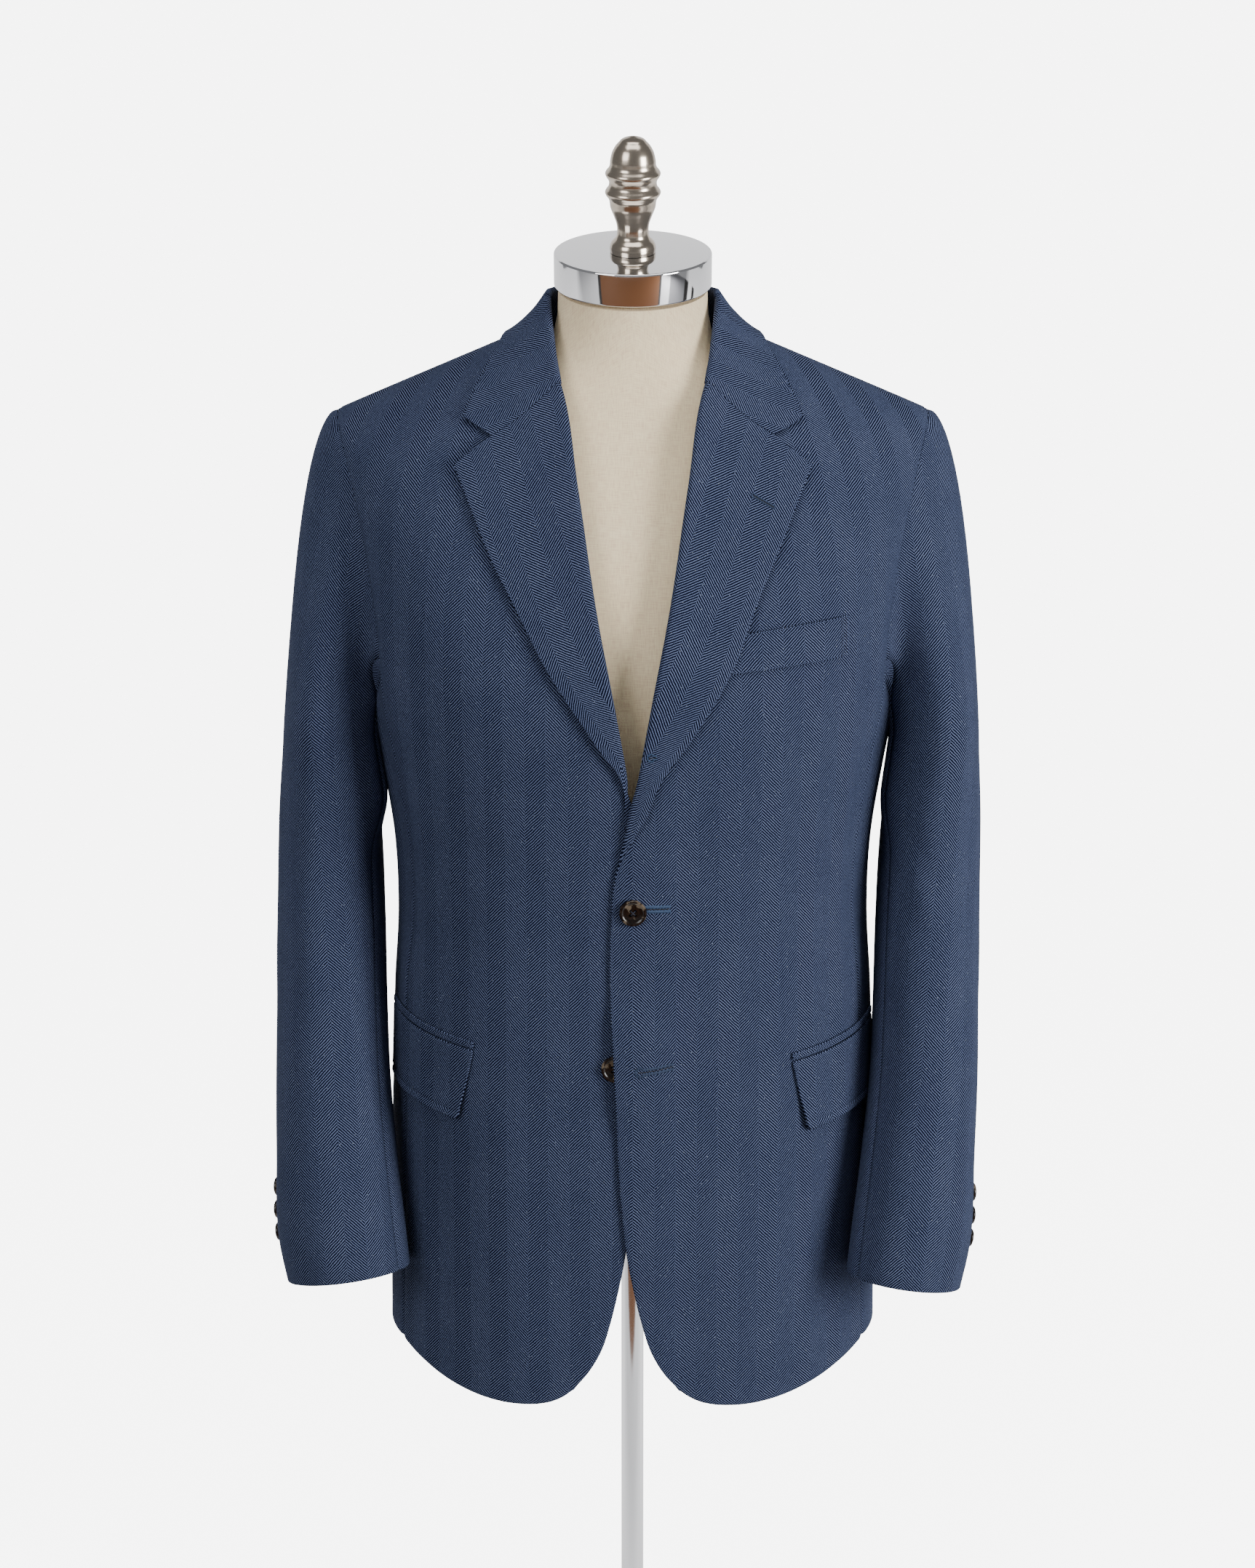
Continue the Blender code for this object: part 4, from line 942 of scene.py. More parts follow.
def edge_frames(side, rows):
    """Points, normals and outward directions of a front's inner edge at the given rows."""
    rows = np.asarray(rows, float)
    shares = [0.0, 1 / 11]
    points, normals = front_surface(side, rows, shares)
    after = front_surface(side, np.minimum(rows + 1, TOP_ROW), shares)[0]
    before = front_surface(side, rows - 1, shares)[0]
    along = unit(after[:, 0] - before[:, 0])
    out = unit(np.cross(along, normals[:, 0]))
    facing = np.sum(out * (points[:, 0] - points[:, 1]), axis=1)
    out = np.where(facing[:, None] < 0, -out, out)
    return points[:, 0], normals[:, 0], out


def fold(start, up, off, radius):
    turn = np.linspace(0, math.pi, FOLD_STEPS + 1)[:, None]
    centre = start + off * radius
    lean = up * np.sin(turn) - off * np.cos(turn)
    return centre + radius * lean, lean


def gorge_line(start, tail):
    share = np.linspace(0, 1, NOTCH_STEP + 1)[1:, None]
    gorge = mix(np.array(start), np.array(NOTCH), share)
    gorge[:, 1] -= GORGE_DIP * np.sin(share[:, 0] * math.pi)
    share = np.linspace(0, 1, LEAF_STEPS - NOTCH_STEP + 1)[1:, None]
    return np.concatenate([gorge, mix(np.array(NOTCH), np.array(tail), share)])


def leaf_lift(share, start, end):
    return end + (start - end) * (1 - share) ** 2


def lapel_edge(side, roll_height):
    """X and height of the free edge. The left lapel is a little wider low down than the right."""
    low = smooth((roll_height - 0.432) / 0.035) * smooth((0.66 - roll_height) / 0.14)
    x = LAPEL.at(roll_height, "edge_x") + LAPEL_WIDER[side] * low
    return np.array([x, LAPEL.at(roll_height, "edge_height")])


def lapel_flat(side, rows, around, height, points):
    """Flat layout of a lapel. The leaf starts with the front's own weave at its foot and turns
    along its outer edge, then comes the roll beyond it."""
    place = laid_flat(around, height)
    foot = place[0, 0]
    away = place - foot
    turn = side * LAPEL_LEAN * smooth((rows - rows[0]) / 3.0)[:, None]
    across = away[..., 0] * np.cos(turn) - away[..., 1] * np.sin(turn)
    up = away[..., 0] * np.sin(turn) + away[..., 1] * np.cos(turn)
    turned = foot + np.stack([across, up], axis=-1)
    steps = np.linalg.norm(np.diff(points[:, :FOLD_STEPS + 2], axis=1), axis=2)
    back_to = np.cumsum(steps[:, ::-1], axis=1)[:, ::-1]
    along = unit(np.gradient(turned[:, 0], axis=0))
    way = np.stack([-along[:, 1], along[:, 0]], axis=-1)
    way = way * np.sign(np.sum(way * (turned[:, 0] - turned[:, -1]), axis=1).sum())
    roll = turned[:, :1] + way[:, None] * back_to[..., None]
    return np.concatenate([roll, turned], axis=1)


def make_lapel(side, word):
    first = LAPEL_START[side]
    rows = np.concatenate([np.linspace(first, 22.5, 41), np.linspace(22.62, GORGE_ROW, 5)])
    full = mix(0.15, 1.0, smooth((rows - first) / 1.2))
    places, fronts, outs = edge_frames(side, rows)
    share = LEAF_SHARES
    under, thick, arounds, heights = [], [], [], []
    for row, place, normal, out, body_of_it in zip(rows, places, fronts, outs, full):
        part = max(row - BREAK_ROW, 0) / (GORGE_ROW - BREAK_ROW)
        radius = mix(0.4, 1.0, smooth(part * 2.5)) * LAPEL_ROLL * body_of_it
        bend_points, bend_thick = fold(place + out * SEAM / 2, out, normal, radius)
        roll = np.array([side * place[0], place[2]])
        edge = lapel_edge(side, place[2])
        line = mix(roll + (edge - roll) * share[:, None], gorge_line(roll, LAPEL_CORNER), part**7)
        x, height = side * line[:, 0], line[:, 1]
        over_welt = WELT_BUMP * smooth((x - 0.055) / 0.02)
        over_welt = over_welt * smooth(1 - np.abs(height - 0.590) / 0.05)
        air = leaf_lift(share, 2 * radius, LAPEL_AIR * body_of_it) + over_welt
        lie, lie_normals = on_front(side, x, height, air)
        under.append(np.concatenate([bend_points, lie]))
        thick.append(np.concatenate([bend_thick, lie_normals]))
        arounds.append(around_of(x, height))
        heights.append(height)
    under, thick = np.array(under), np.array(thick)
    flat = lapel_flat(side, rows, np.array(arounds), np.array(heights), under)
    outer = under + thick * (CLOTH * full)[:, None, None]
    flat = eased(flat, outer, smooth((rows - first - 0.5) / 1.5)[:, None] * np.ones(flat.shape[:2]))
    piece = cloth_piece("cloth_lapel_" + word, outer, under, flat, WOOL, ("last_row", "first_row"))
    declare_cloth(piece, flat, "lapel_" + word)
    return piece


LEFT_LAPEL = make_lapel(1, "left")
make_lapel(-1, "right")


# Collar. One piece round the neck: a low stand, a soft fold and a fall that lies on the back,
# the shoulders and the tops of the fronts. Its weave runs across it.

COLLAR_TIP = (0.1246, 0.7465)
COLLAR_AIR = 0.0022
GORGE_GAP = 0.0001
RISER_STEPS = 4
COLLAR = Sizes(
    ("along", "stand", "lean", "edge_x", "edge_drop"),
    (
        (0.0, 0.0006, 0.0, 0.1246, 0.0408),
        (0.15, 0.004, 10.0, 0.1155, 0.0260),
        (0.30, 0.012, 24.0, 0.1040, 0.0110),
        (0.50, 0.0245, 40.0, 0.0935, 0.0000),
        (0.65, 0.030, 47.0, 0.0800, 0.0110),
        (0.80, 0.034, 53.0, 0.0480, 0.0330),
        (1.0, 0.036, 55.0, 0.0000, 0.0560),
    ),
)


def back_neck_frames(side, columns):
    points, normals = surface(*back(side, [TOP_ROW], columns))
    below = surface(*back(side, [TOP_ROW - 1], columns))[0][0]
    after = surface(*back(side, [TOP_ROW], np.minimum(columns + 1, 10)))[0][0]
    before = surface(*back(side, [TOP_ROW], np.maximum(columns - 1, 5)))[0][0]
    along = unit(after - before)
    along[-1] = (1.0, 0.0, 0.0)
    out = unit(np.cross(along, normals[0]))
    facing = np.sum(out * (points[0] - below), axis=1)
    return points[0], normals[0], np.where(facing[:, None] < 0, -out, out)


def collar_line(side, place, along, share):
    """Around and height along one line of the fall, from the neckline to its edge."""
    edge = float(COLLAR.at(along, "edge_x"))
    high = float(shoulder_height(edge)) - float(COLLAR.at(along, "edge_drop"))
    line = mix(np.array([abs(place[0]), place[2]]), np.array([edge, high]), share[:, None])
    if along < 1 / 6:
        line = mix(gorge_line((abs(place[0]), place[2]), COLLAR_TIP), line, smooth(along * 6))
    x = np.maximum(line[:, 0], 1e-6)
    height = np.minimum(line[:, 1], shoulder_height(x))
    return side * around_of(x, height, back=along > 0.5), height


def collar_half(side):
    rows = np.concatenate([[23, 23.1, 23.2], np.linspace(23.35, 25.85, 11)])
    columns = np.linspace(5, 10, 21)
    fronts = edge_frames(side, rows)
    backs = back_neck_frames(side, columns)
    places, normals, outs = (np.concatenate(pair) for pair in zip(fronts, backs))
    alongs = np.concatenate([(rows - GORGE_ROW) / 6, 0.5 + (columns - 5) / 10])
    share = LEAF_SHARES
    under, thick = [], []
    for place, normal, out, along in zip(places, normals, outs, alongs):
        lean = math.radians(COLLAR.at(along, "lean"))
        up = unit(out * math.cos(lean) + normal * math.sin(lean))
        off = unit(normal * math.cos(lean) - out * math.sin(lean))
        start = place + out * SEAM / 2
        ridge = start + up * COLLAR.at(along, "stand")
        riser = start + (ridge - start) * np.linspace(0, 1, RISER_STEPS + 1)[:-1, None]
        bend_points, bend_thick = fold(ridge, up, off, LAPEL_ROLL)
        after = bend_points[-1] - place
        around, height = collar_line(side, place, along, share)
        x = body(around, height)[..., 0]
        stand_off = standing_off(side, x, height) if along < 0.5 else 0.0
        leaf, leaf_normals = surface(around, height, stand_off)
        air = mix(LAPEL_AIR, COLLAR_AIR, smooth(along * 6))
        lift = leaf_lift(share, np.dot(after, normal), air)
        reach = (np.dot(after, out) * (1 - share) ** 1.6)[:, None]
        fall = leaf + leaf_normals * lift[:, None] + out * reach
        under.append(np.concatenate([riser, bend_points, fall]))
        thick.append(np.concatenate([np.tile(-off, (RISER_STEPS, 1)), bend_thick, leaf_normals]))
    under, thick = np.array(under), np.array(thick)
    normals = grid_normals(under)
    facing = np.sum(normals * thick, axis=-1, keepdims=True)
    normals = normals * np.where(facing < 0, -1.0, 1.0)
    thick[2:, -LEAF_STEPS:] = normals[2:, -LEAF_STEPS:]
    return under, thick


def make_collar():
    left, left_thick = collar_half(1)
    right, right_thick = collar_half(-1)
    middle = (left[-1] + right[-1]) / 2
    middle[:, 0] = 0
    middle_thick = unit((left_thick[-1] + right_thick[-1]) * np.array([0.0, 1.0, 1.0]))
    under = np.concatenate([left[:-1], middle[None], right[-2::-1]])
    thick = np.concatenate([left_thick[:-1], middle_thick[None], right_thick[-2::-1]])
    under[0] += GORGE_GAP * unit(under[1] - under[0])
    under[-1] += GORGE_GAP * unit(under[-2] - under[-1])
    outer = under + thick * CLOTH
    ridge = RISER_STEPS + FOLD_STEPS // 2
    half = ridge + LEAF_STEPS // 2
    steps = np.linalg.norm(np.diff(outer[:, half], axis=0, prepend=outer[:1, half]), axis=1)
    along = np.cumsum(steps) - steps.sum() / 2
    across = lengths_along(outer, 1)
    flat = np.stack([along[:, None] + 0 * across, across - across[:, ridge:ridge + 1]], axis=-1)
    flat = eased(flat, outer, np.ones(flat.shape[:2]))
    piece = cloth_piece("cloth_collar", outer, under, flat, WOOL, ("first_row", "last_row"))
    declare_cloth(piece, flat, "collar")


make_collar()


# Sleeves. Each is a top sleeve and an under sleeve, set into the armhole with a soft head and
# hanging a little forward. The hind seam runs to the outside at the cuff, where buttons sit.

BICEPS = 0.500
SLEEVE_HEM = 0.089
BACK_PITCH = 4
FINE = 4                  # fine steps for one coarse step of the sleeve
TIP = (TOP_ROW - CHEST_ROW) * FINE          # the column at the shoulder point
HIND = 2 * TIP - BACK_PITCH * FINE          # and the one at the hind seam
LEFT_SLIMMER = 0.30
LEFT_FORWARD = 1.3
LEAN_IN = 0.0150          # how far the inner front leans in before the body
LEAN_AT = 152             # in degrees round the sleeve
LEAN_WIDTH = 23
LEAN_HEIGHTS = (0.405, 0.566)
DEGREE_LENGTH = 0.00095   # length of cloth for one degree round the sleeve
CAP_LEAVE = (0.36, 0.75)  # how straight the cap leaves the armhole, outside and under the arm
CAP_REACH = 0.80
CUFF_SLANT = 0.14
SLEEVE = Sizes(
    ("height", "x", "y", "half_x", "half_y", "left_in"),
    (
        (0.085, 0.2190, -0.095, 0.0470, 0.047, 0.0115),
        (0.120, 0.2250, -0.086, 0.0490, 0.050, 0.0110),
        (0.180, 0.2295, -0.068, 0.0465, 0.053, 0.0095),
        (0.240, 0.2325, -0.050, 0.0440, 0.057, 0.0075),
        (0.300, 0.2335, -0.032, 0.0425, 0.061, 0.0065),
        (0.360, 0.2338, -0.016, 0.0412, 0.065, 0.0055),
        (0.420, 0.2345, -0.005, 0.0392, 0.069, 0.0040),
        (0.460, 0.2360, -0.001, 0.0360, 0.073, 0.0030),
        (0.500, 0.2375, 0.000, 0.0318, 0.077, 0.0020),
    ),
)
SLEEVE_ROWS = (BICEPS, 0.47, 0.44, 0.405, 0.37, 0.335, 0.295, 0.25, 0.205, 0.16, 0.12, SLEEVE_HEM)
CAP_ROWS = (0.0, 0.05, 0.12, 0.22, 0.36, 0.52, 0.68, 0.84, 1.0)
SEAM_TURN = Sizes(
    ("at_armhole", "at_cuff"),
    (
        (-210.0, -210.0),
        (-180.0, -176.0),
        (-142.0, -122.0),
        (-79.0, -20.0),
        (0.0, 34.0),
        (80.0, 90.0),
        (150.0, 150.0),
    ),
)
SLEEVE_CREASES = (
    # degrees, height, degrees, height, width, lift
    (130.0, 0.440, 70.0, 0.375, 0.012, -0.0016),
    (140.0, 0.400, 80.0, 0.330, 0.013, -0.0014),
    (120.0, 0.330, 60.0, 0.280, 0.012, -0.0012),
    (60.0, 0.300, 40.0, 0.130, 0.020, 0.0012),
    (20.0, 0.470, 10.0, 0.300, 0.018, 0.0010),
    (-60.0, 0.380, -110.0, 0.320, 0.013, -0.0016),
    (-70.0, 0.300, -120.0, 0.270, 0.012, -0.0014),
    (-100.0, 0.460, -130.0, 0.360, 0.016, 0.0012),
)


def armhole(side):
    """Points, normals and outward directions round the armhole, up the front and down the back."""
    rows = np.linspace(CHEST_ROW, TOP_ROW, TIP + 1)
    fronts = front_surface(side, rows, [1.0])
    backs = surface(*back(side, rows, np.array([0.0])))
    sides = surface(*side_panel(side, [CHEST_ROW], np.linspace(0, 1, 4 * FINE + 1)))
    points, normals = (
        np.concatenate([ahead[:, 0], behind[-2:0:-1, 0], below[0, :0:-1]])
        for ahead, behind, below in zip(fronts, backs, sides)
    )
    along = np.roll(points, -FINE, axis=0) - np.roll(points, FINE, axis=0)
    return points, normals, unit(np.cross(along, normals)) * side


def ring_angles(points):
    """Degrees round the sleeve at each place of the armhole, by its length between five knots."""
    count = len(points)
    corner = 2 * TIP
    bottom = (count + corner) // 2
    knots = ((0, 150.0), (TIP, 0.0), (corner, -142.0), (bottom, -180.0), (count, -210.0))
    closed = np.concatenate([points, points[:1]])
    length = np.concatenate([[0], np.cumsum(np.linalg.norm(np.diff(closed, axis=0), axis=1))])
    angles = np.zeros(count)
    for (first, begin), (last, end) in zip(knots, knots[1:]):
        span = length[last] - length[first]
        for k in range(first, min(last, count - 1) + 1):
            angles[k] = mix(begin, end, (length[k] - length[first]) / span)
    return angles


def towards_cuff(degrees, height):
    part = smooth((BICEPS - height) / (BICEPS - 0.20))
    return mix(degrees, SEAM_TURN.at(degrees, "at_cuff"), part)


def sleeve_ring(side, height, degrees):
    turn = np.radians(degrees)
    slope = (SLEEVE.at(height + 0.01, "y") - SLEEVE.at(height - 0.01, "y")) / 0.02
    tilt = math.atan(float(slope))
    closer = SLEEVE.at(height, "left_in") if side > 0 else 0.0
    half = SLEEVE.at(height, "half_x") - LEFT_SLIMMER * closer
    x = SLEEVE.at(height, "x") - closer + half * np.cos(turn)
    forward = SLEEVE.at(height, "half_y") * np.sin(turn)
    y = SLEEVE.at(height, "y") - LEFT_FORWARD * closer - forward * math.cos(tilt)
    slant = CUFF_SLANT * smooth((0.20 - height) / 0.10) * half * np.cos(turn)
    return np.stack([side * x, y, height + forward * math.sin(tilt) - slant], axis=-1)


def leaning_in(side, rows, degrees):
    """Sleeve rows whose inner front is moved in before the body, just below the armhole."""
    height = rows[..., 2]
    from_inner_front = (degrees - LEAN_AT + 180) % 360 - 180
    inner = np.exp(-((from_inner_front / LEAN_WIDTH) ** 2))
    low, high = LEAN_HEIGHTS
    inner = inner * smooth((height - low) / 0.055) * smooth((high - height) / 0.04)
    closer = SLEEVE.at(height, "left_in") if side > 0 else 0.0
    moved = rows.copy()
    moved[..., 0] -= side * (LEAN_IN - 1.5 * closer) * inner
    return moved


def sleeve_layout(side, rows, degrees, arm_row):
    """Flat layout of a sleeve, and of its first column once more at the end of a whole turn."""
    around = np.linalg.norm(np.diff(rows, axis=1, append=rows[:, :1]), axis=2)
    before = np.cumsum(around, axis=1) - around
    across = before - before[:, TIP:TIP + 1]
    forward = (SLEEVE.at(BICEPS, "y") - rows[:arm_row, :, 1]) / SLEEVE.at(BICEPS, "half_y")
    facing = np.degrees(np.arcsin(np.clip(forward, -0.97, 0.97)))
    facing = mix(facing, degrees, smooth((np.abs(degrees) - 50) / 40))
    across[:arm_row] = np.interp(facing, degrees[::-1], across[arm_row, ::-1])
    down_it = lengths_along(rows, 0)
    up = down_it[arm_row] - down_it
    flat = np.stack([-side * across, up], axis=-1)
    wrap = np.stack([-side * (across[:, -1] + around[:, -1]), up[:, 0]], axis=-1)
    return flat, wrap


def sleeve_grid(side):
    """Rows from the armhole to the hem, columns round the sleeve, with normals and layout."""
    points, normals, out = armhole(side)
    degrees = ring_angles(points)
    arm = sleeve_ring(side, BICEPS, degrees)
    down = unit(sleeve_ring(side, BICEPS - 0.03, degrees) - arm)
    length = np.linalg.norm(arm - points, axis=1)[:, None]
    near = smooth((np.abs(degrees) - 60) / 90)[:, None]
    leave = out * length * mix(*CAP_LEAVE, near)
    reach = down * length * CAP_REACH
    rows, angles = [], []
    steps = np.concatenate([[0, 0.3, 0.6, 1.0], np.linspace(1.3, 8, 22)])
    for part in np.interp(steps, np.arange(9), CAP_ROWS):
        start = points * (1 + 2 * part) * (1 - part) ** 2 + leave * part * (1 - part) ** 2
        end = arm * part**2 * (3 - 2 * part) - reach * part**2 * (1 - part)
        rows.append(start + end)
        angles.append(degrees)
    last = len(SLEEVE_ROWS) - 1
    finer = np.linspace(0, last, last * FINE + 1)[1:]
    for height in np.interp(finer, np.arange(last + 1), SLEEVE_ROWS):
        turned = towards_cuff(degrees, height)
        rows.append(sleeve_ring(side, height, turned))
        angles.append(turned)
    rows = leaning_in(side, np.array(rows), degrees)
    ringed = np.concatenate([rows[:, -1:], rows, rows[:, :1]], axis=1)
    outward = grid_normals(ringed)[:, 1:-1] * -side
    outward[0] = normals
    outward[1] = unit(outward[1] + normals * 0.5)
    lift = creases_lift(SLEEVE_CREASES, DEGREE_LENGTH, 3, np.array(angles), rows[..., 2])
    rows = rows + outward * lift[..., None]
    return rows, outward, *sleeve_layout(side, rows, degrees, len(steps) - 1)


def make_sleeve(side, word):
    rows, normals, flat, wrap = sleeve_grid(side)
    top = np.arange(0, HIND + 1)
    under = np.append(np.arange(HIND, rows.shape[1]), 0)
    wrapped = np.concatenate([flat[:, HIND:], wrap[:, None]], axis=1)
    for part, columns, layout in (("top", top, flat[:, top]), ("under", under, wrapped)):
        layout = eased_widely(layout, rows[:, columns])
        seams = ("first_column", "last_column", "first_row")
        name = "sleeve_%s_%s" % (part, word)
        make_panel(name, rows[:, columns], normals[:, columns], layout, seams)


for side, word in SIDES:
    make_sleeve(side, word)


# Pockets. Each hip pocket has a flap under a narrow jet. The breast pocket has a slanting welt.
# All are cut so that their weave matches the front that they are sewn to.

POCKET_START = 0.197
POCKET_END = 0.430
POCKET_HEIGHT = {1: 0.2700, -1: 0.2790}
POCKET_RISE = 0.012
FLAP_DEPTH = 0.057
FLAP_SLANT = 0.022
FLAP_CORNER = 0.010
FLAP_RUN = 0.16           # length of the pocket line over which the corner is counted
FLAP_SPRING = 0.0032      # how far the bottom edge stands off
FLAP_SPRING_FRONT = 0.0006
FLAP_TURNING = 0.0068     # the edge turned in shows as a groove this far from the bottom
FLAP_GROOVE = 0.0007
FLAP_GROOVE_WIDTH = 0.0011
FLAP_RIM = 0.0024         # how far the bottom edge rolls under
FLAP_RIM_DEPTH = 0.0026
JET_WIDTH = 0.006
LIE = 0.0005              # air between a piece and the cloth that it lies on
WELT_MOUTH = 0.0016
WELT_BOTTOM = ((0.0675, 0.5699), (0.1580, 0.5790))
WELT_TOP = ((0.0765, 0.5985), (0.1575, 0.6090))


def lying_piece(name, around, height, lift):
    """A piece of cloth that lies on a front and matches its weave."""
    points, normals = surface(around, height, lift)
    return make_panel(name, points, normals, laid_flat(around, height), ())


def make_hip_pocket(side, word):
    share = np.concatenate([[0, 0.01, 0.02, 0.035, 0.055, 0.08], np.linspace(0.11, 1, 28)])
    down = np.concatenate([np.linspace(0, 0.84, 12), np.linspace(0.86, 1.0, 15)])[:, None]
    around = mix(POCKET_START, POCKET_END, share)
    high = POCKET_HEIGHT[side] + POCKET_RISE * share
    away = np.minimum(share * FLAP_RUN / FLAP_CORNER, 1.0)
    corner = FLAP_CORNER * (1 - np.sqrt(1 - (1 - away) ** 2))
    height = high - LIE - (FLAP_DEPTH - corner) * down
    turn = side * (around + FLAP_SLANT * down * (1 - share))
    spring = FLAP_SPRING + FLAP_SPRING_FRONT * (1 - share) ** 4
    spring = spring * (1 - 0.75 * smooth((share - 0.6) / 0.4)) * down**3
    left_over = FLAP_DEPTH * (1 - down) + 0 * share
    pressed = FLAP_GROOVE * np.exp(-((left_over - FLAP_TURNING) / FLAP_GROOVE_WIDTH) ** 2)
    pressed = pressed * smooth((share - 0.03) * 40)
    rim = FLAP_RIM * np.maximum(1 - left_over / FLAP_RIM_DEPTH, 0) ** 2
    lift = standing_off(side, body(turn, height)[..., 0], height) + LIE + CLOTH
    lying_piece("flap_" + word, turn, height, lift + spring - pressed - rim)
    height = high + SEAM + JET_WIDTH * np.linspace(0, 1, 5)[:, None]
    around = side * around + 0 * height
    lying_piece("jet_" + word, around, height, LIE + CLOTH)


def make_welt():
    share = np.concatenate([np.linspace(0, 0.94, 20), [0.96, 0.98, 0.99, 1.0]])[:, None]
    bottom = mix(np.array(WELT_BOTTOM[0]), np.array(WELT_BOTTOM[1]), share)
    top = mix(np.array(WELT_TOP[0]), np.array(WELT_TOP[1]), share)
    parts = np.concatenate([[0, 0.04, 0.08], np.linspace(0.15, 0.85, 8), [0.92, 0.96, 1.0]])
    rows = np.array([mix(bottom, top, part) for part in parts])
    mouth = WELT_MOUTH * np.linspace(0, 1, len(parts))[:, None] ** 3
    mouth = mouth * smooth((0.97 - share[:, 0]) * 6)
    lift = standing_off(1, rows[..., 0], rows[..., 1]) + LIE + CLOTH + mouth
    around = around_of(rows[..., 0], rows[..., 1])
    return lying_piece("breast_welt", around, rows[..., 1], lift)


for side, word in SIDES:
    make_hip_pocket(side, word)
WELT = make_welt()


# Buttonholes and hand stitches. Each hole is cut through the left front and edged with blue silk
# twist, with a round eye at its front end; a near-black thread along its slit is painted shadow.
# The welt's outer end is tacked down by hand, in three close rows of dark tacks that are also
# painted shadow of the welt's folded end.

TWIST = (0.034, 0.078, 0.175, 1.0)
DARK_TWIST = (0.020, 0.044, 0.108, 1.0)
NAVY_THREAD = (0.006, 0.010, 0.028, 1.0)
# Painted shadow: colour of a thread laid along each slit, standing for the shade inside the cut
SLIT_SHADOW = (0.001, 0.0015, 0.004, 1.0)
TWIST_RADIUS = 0.00038
TWIST_RISE = 0.0005
TWIST_PITCH = 0.00055
SLIT_SHADOW_RADIUS = 0.00045
EYE = 1.7                 # radius of the eye, by the slit's half width
TACK_RADIUS = 0.00022
TACK_RISE = 0.0001
TACK_HALF = 0.0007
# Three close rows of real tacks, set dense enough to paint the shadow at the welt's folded end
TACK_AND_SHADOW_LINES = (0.0014, 0.0030, 0.0046)
TACKS = 15
STITCH_SIDES = 6
STITCH = ((0.0, 0.5), (0.2, 0.95), (0.5, 1.0), (0.8, 0.95), (1.0, 0.5))      # place and thickness
HOLES = (
    # name, piece, start x and height, end x and height, half width, stitch, colour
    ("hole_1", LEFT_FRONT, (-0.0010, 0.3957), (0.0275, 0.3957), 0.0010, 0.0025, TWIST),
    ("hole_2", LEFT_FRONT, (0.0030, 0.2700), (0.0300, 0.2735), 0.0014, 0.0021, DARK_TWIST),
    ("hole_rolled", LEFT_LAPEL, (0.0110, 0.5120), (0.0170, 0.5126), 0.0012, 0.0013, TWIST),
    ("hole_flower", LEFT_LAPEL, (0.0870, 0.6966), (0.1030, 0.6874), 0.0005, 0.0011, DARK_TWIST),
)


def twist_material(name, colour):
    """Twisted thread, with painted shade between its plies."""
    material, shader = plain_material(name, colour, 0.55)
    tree = material.node_tree
    place = tree.nodes.new("ShaderNodeTexCoord")
    # Painted shade: the thread is drawn darker in spots that stand for the grooves between its
    # plies
    ply = noise_node(tree, place.outputs["Object"], 2600.0, 1.0)
    painted_ply_shade = tuple(c * 0.45 for c in colour[:3]) + (1.0,)
    shade = colour_mix(tree, ramp_node(tree, ply, 0.35, 0.65), painted_ply_shade, colour)
    tree.links.new(shade, shader.inputs["Base Color"])
    return material


def on_piece(piece, x, height):
    """Point and normal of a piece straight behind a place of the picture."""
    skin = piece.data
    tree = BVHTree.FromPolygons([v.co for v in skin.vertices], [p.vertices for p in skin.polygons])
    found = []
    for across, high in zip(x, height):
        start = Vector((across, -1.0, high + HEM_ABOVE_FLOOR))
        place, normal, _, _ = tree.ray_cast(start, Vector((0, 1, 0)))
        if place is None:
            place, normal, _, _ = tree.find_nearest(Vector((across, -0.16, high + HEM_ABOVE_FLOOR)))
        found.append((place, normal if normal.y < 0 else -normal))
    return np.array([f[0] for f in found]), np.array([f[1] for f in found])


def make_stitches(name, starts, ends, normals, radius, rise, material):
    """Short stitches, each an arched thread from its start to its end."""
    points, faces = [], []
    turns = [2 * math.pi * k / STITCH_SIDES for k in range(STITCH_SIDES)]
    for start, end, normal in zip(starts, ends, normals):
        along = unit(end - start)
        across = unit(np.cross(along, normal))
        first = len(points)
        for part, thick in STITCH:
            high = rise * math.sin(part * math.pi) - radius * 0.3
            middle = start + (end - start) * part + normal * high
            for turn in turns:
                way = across * math.cos(turn) + normal * math.sin(turn)
                points.append(middle + radius * thick * way)
        for low in range(first, len(points) - STITCH_SIDES, STITCH_SIDES):
            up = low + STITCH_SIDES
            for k in range(STITCH_SIDES):
                after = (k + 1) % STITCH_SIDES
                faces.append((low + k, low + after, up + after, up + k))
        faces.append(tuple(range(first + STITCH_SIDES - 1, first - 1, -1)))
        faces.append(tuple(range(len(points) - STITCH_SIDES, len(points))))
    mesh = plain_mesh(name, [tuple(point) for point in points], faces, material)
    mesh.shade_smooth()
    piece = placed(name, mesh)
    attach(piece, "root")


def hole_outline(length, half):
    """Points and outward directions round a slit with an eye at its start."""
    spots, ways = [], []
    eye = half * EYE
    for turn in np.linspace(35, 325, 17):
        angle = math.radians(turn)
        spots.append((eye * (1 + math.cos(angle)), eye * math.sin(angle)))
        ways.append((math.cos(angle), math.sin(angle)))
    steps = max(int((length - 2 * eye) / TWIST_PITCH), 4)
    for across in (-1, 1):
        for along in np.linspace(2 * eye, length, steps):
            spots.append((along, across * half * 0.55))
            ways.append((0.0, across))
    return np.array(spots), np.array(ways)


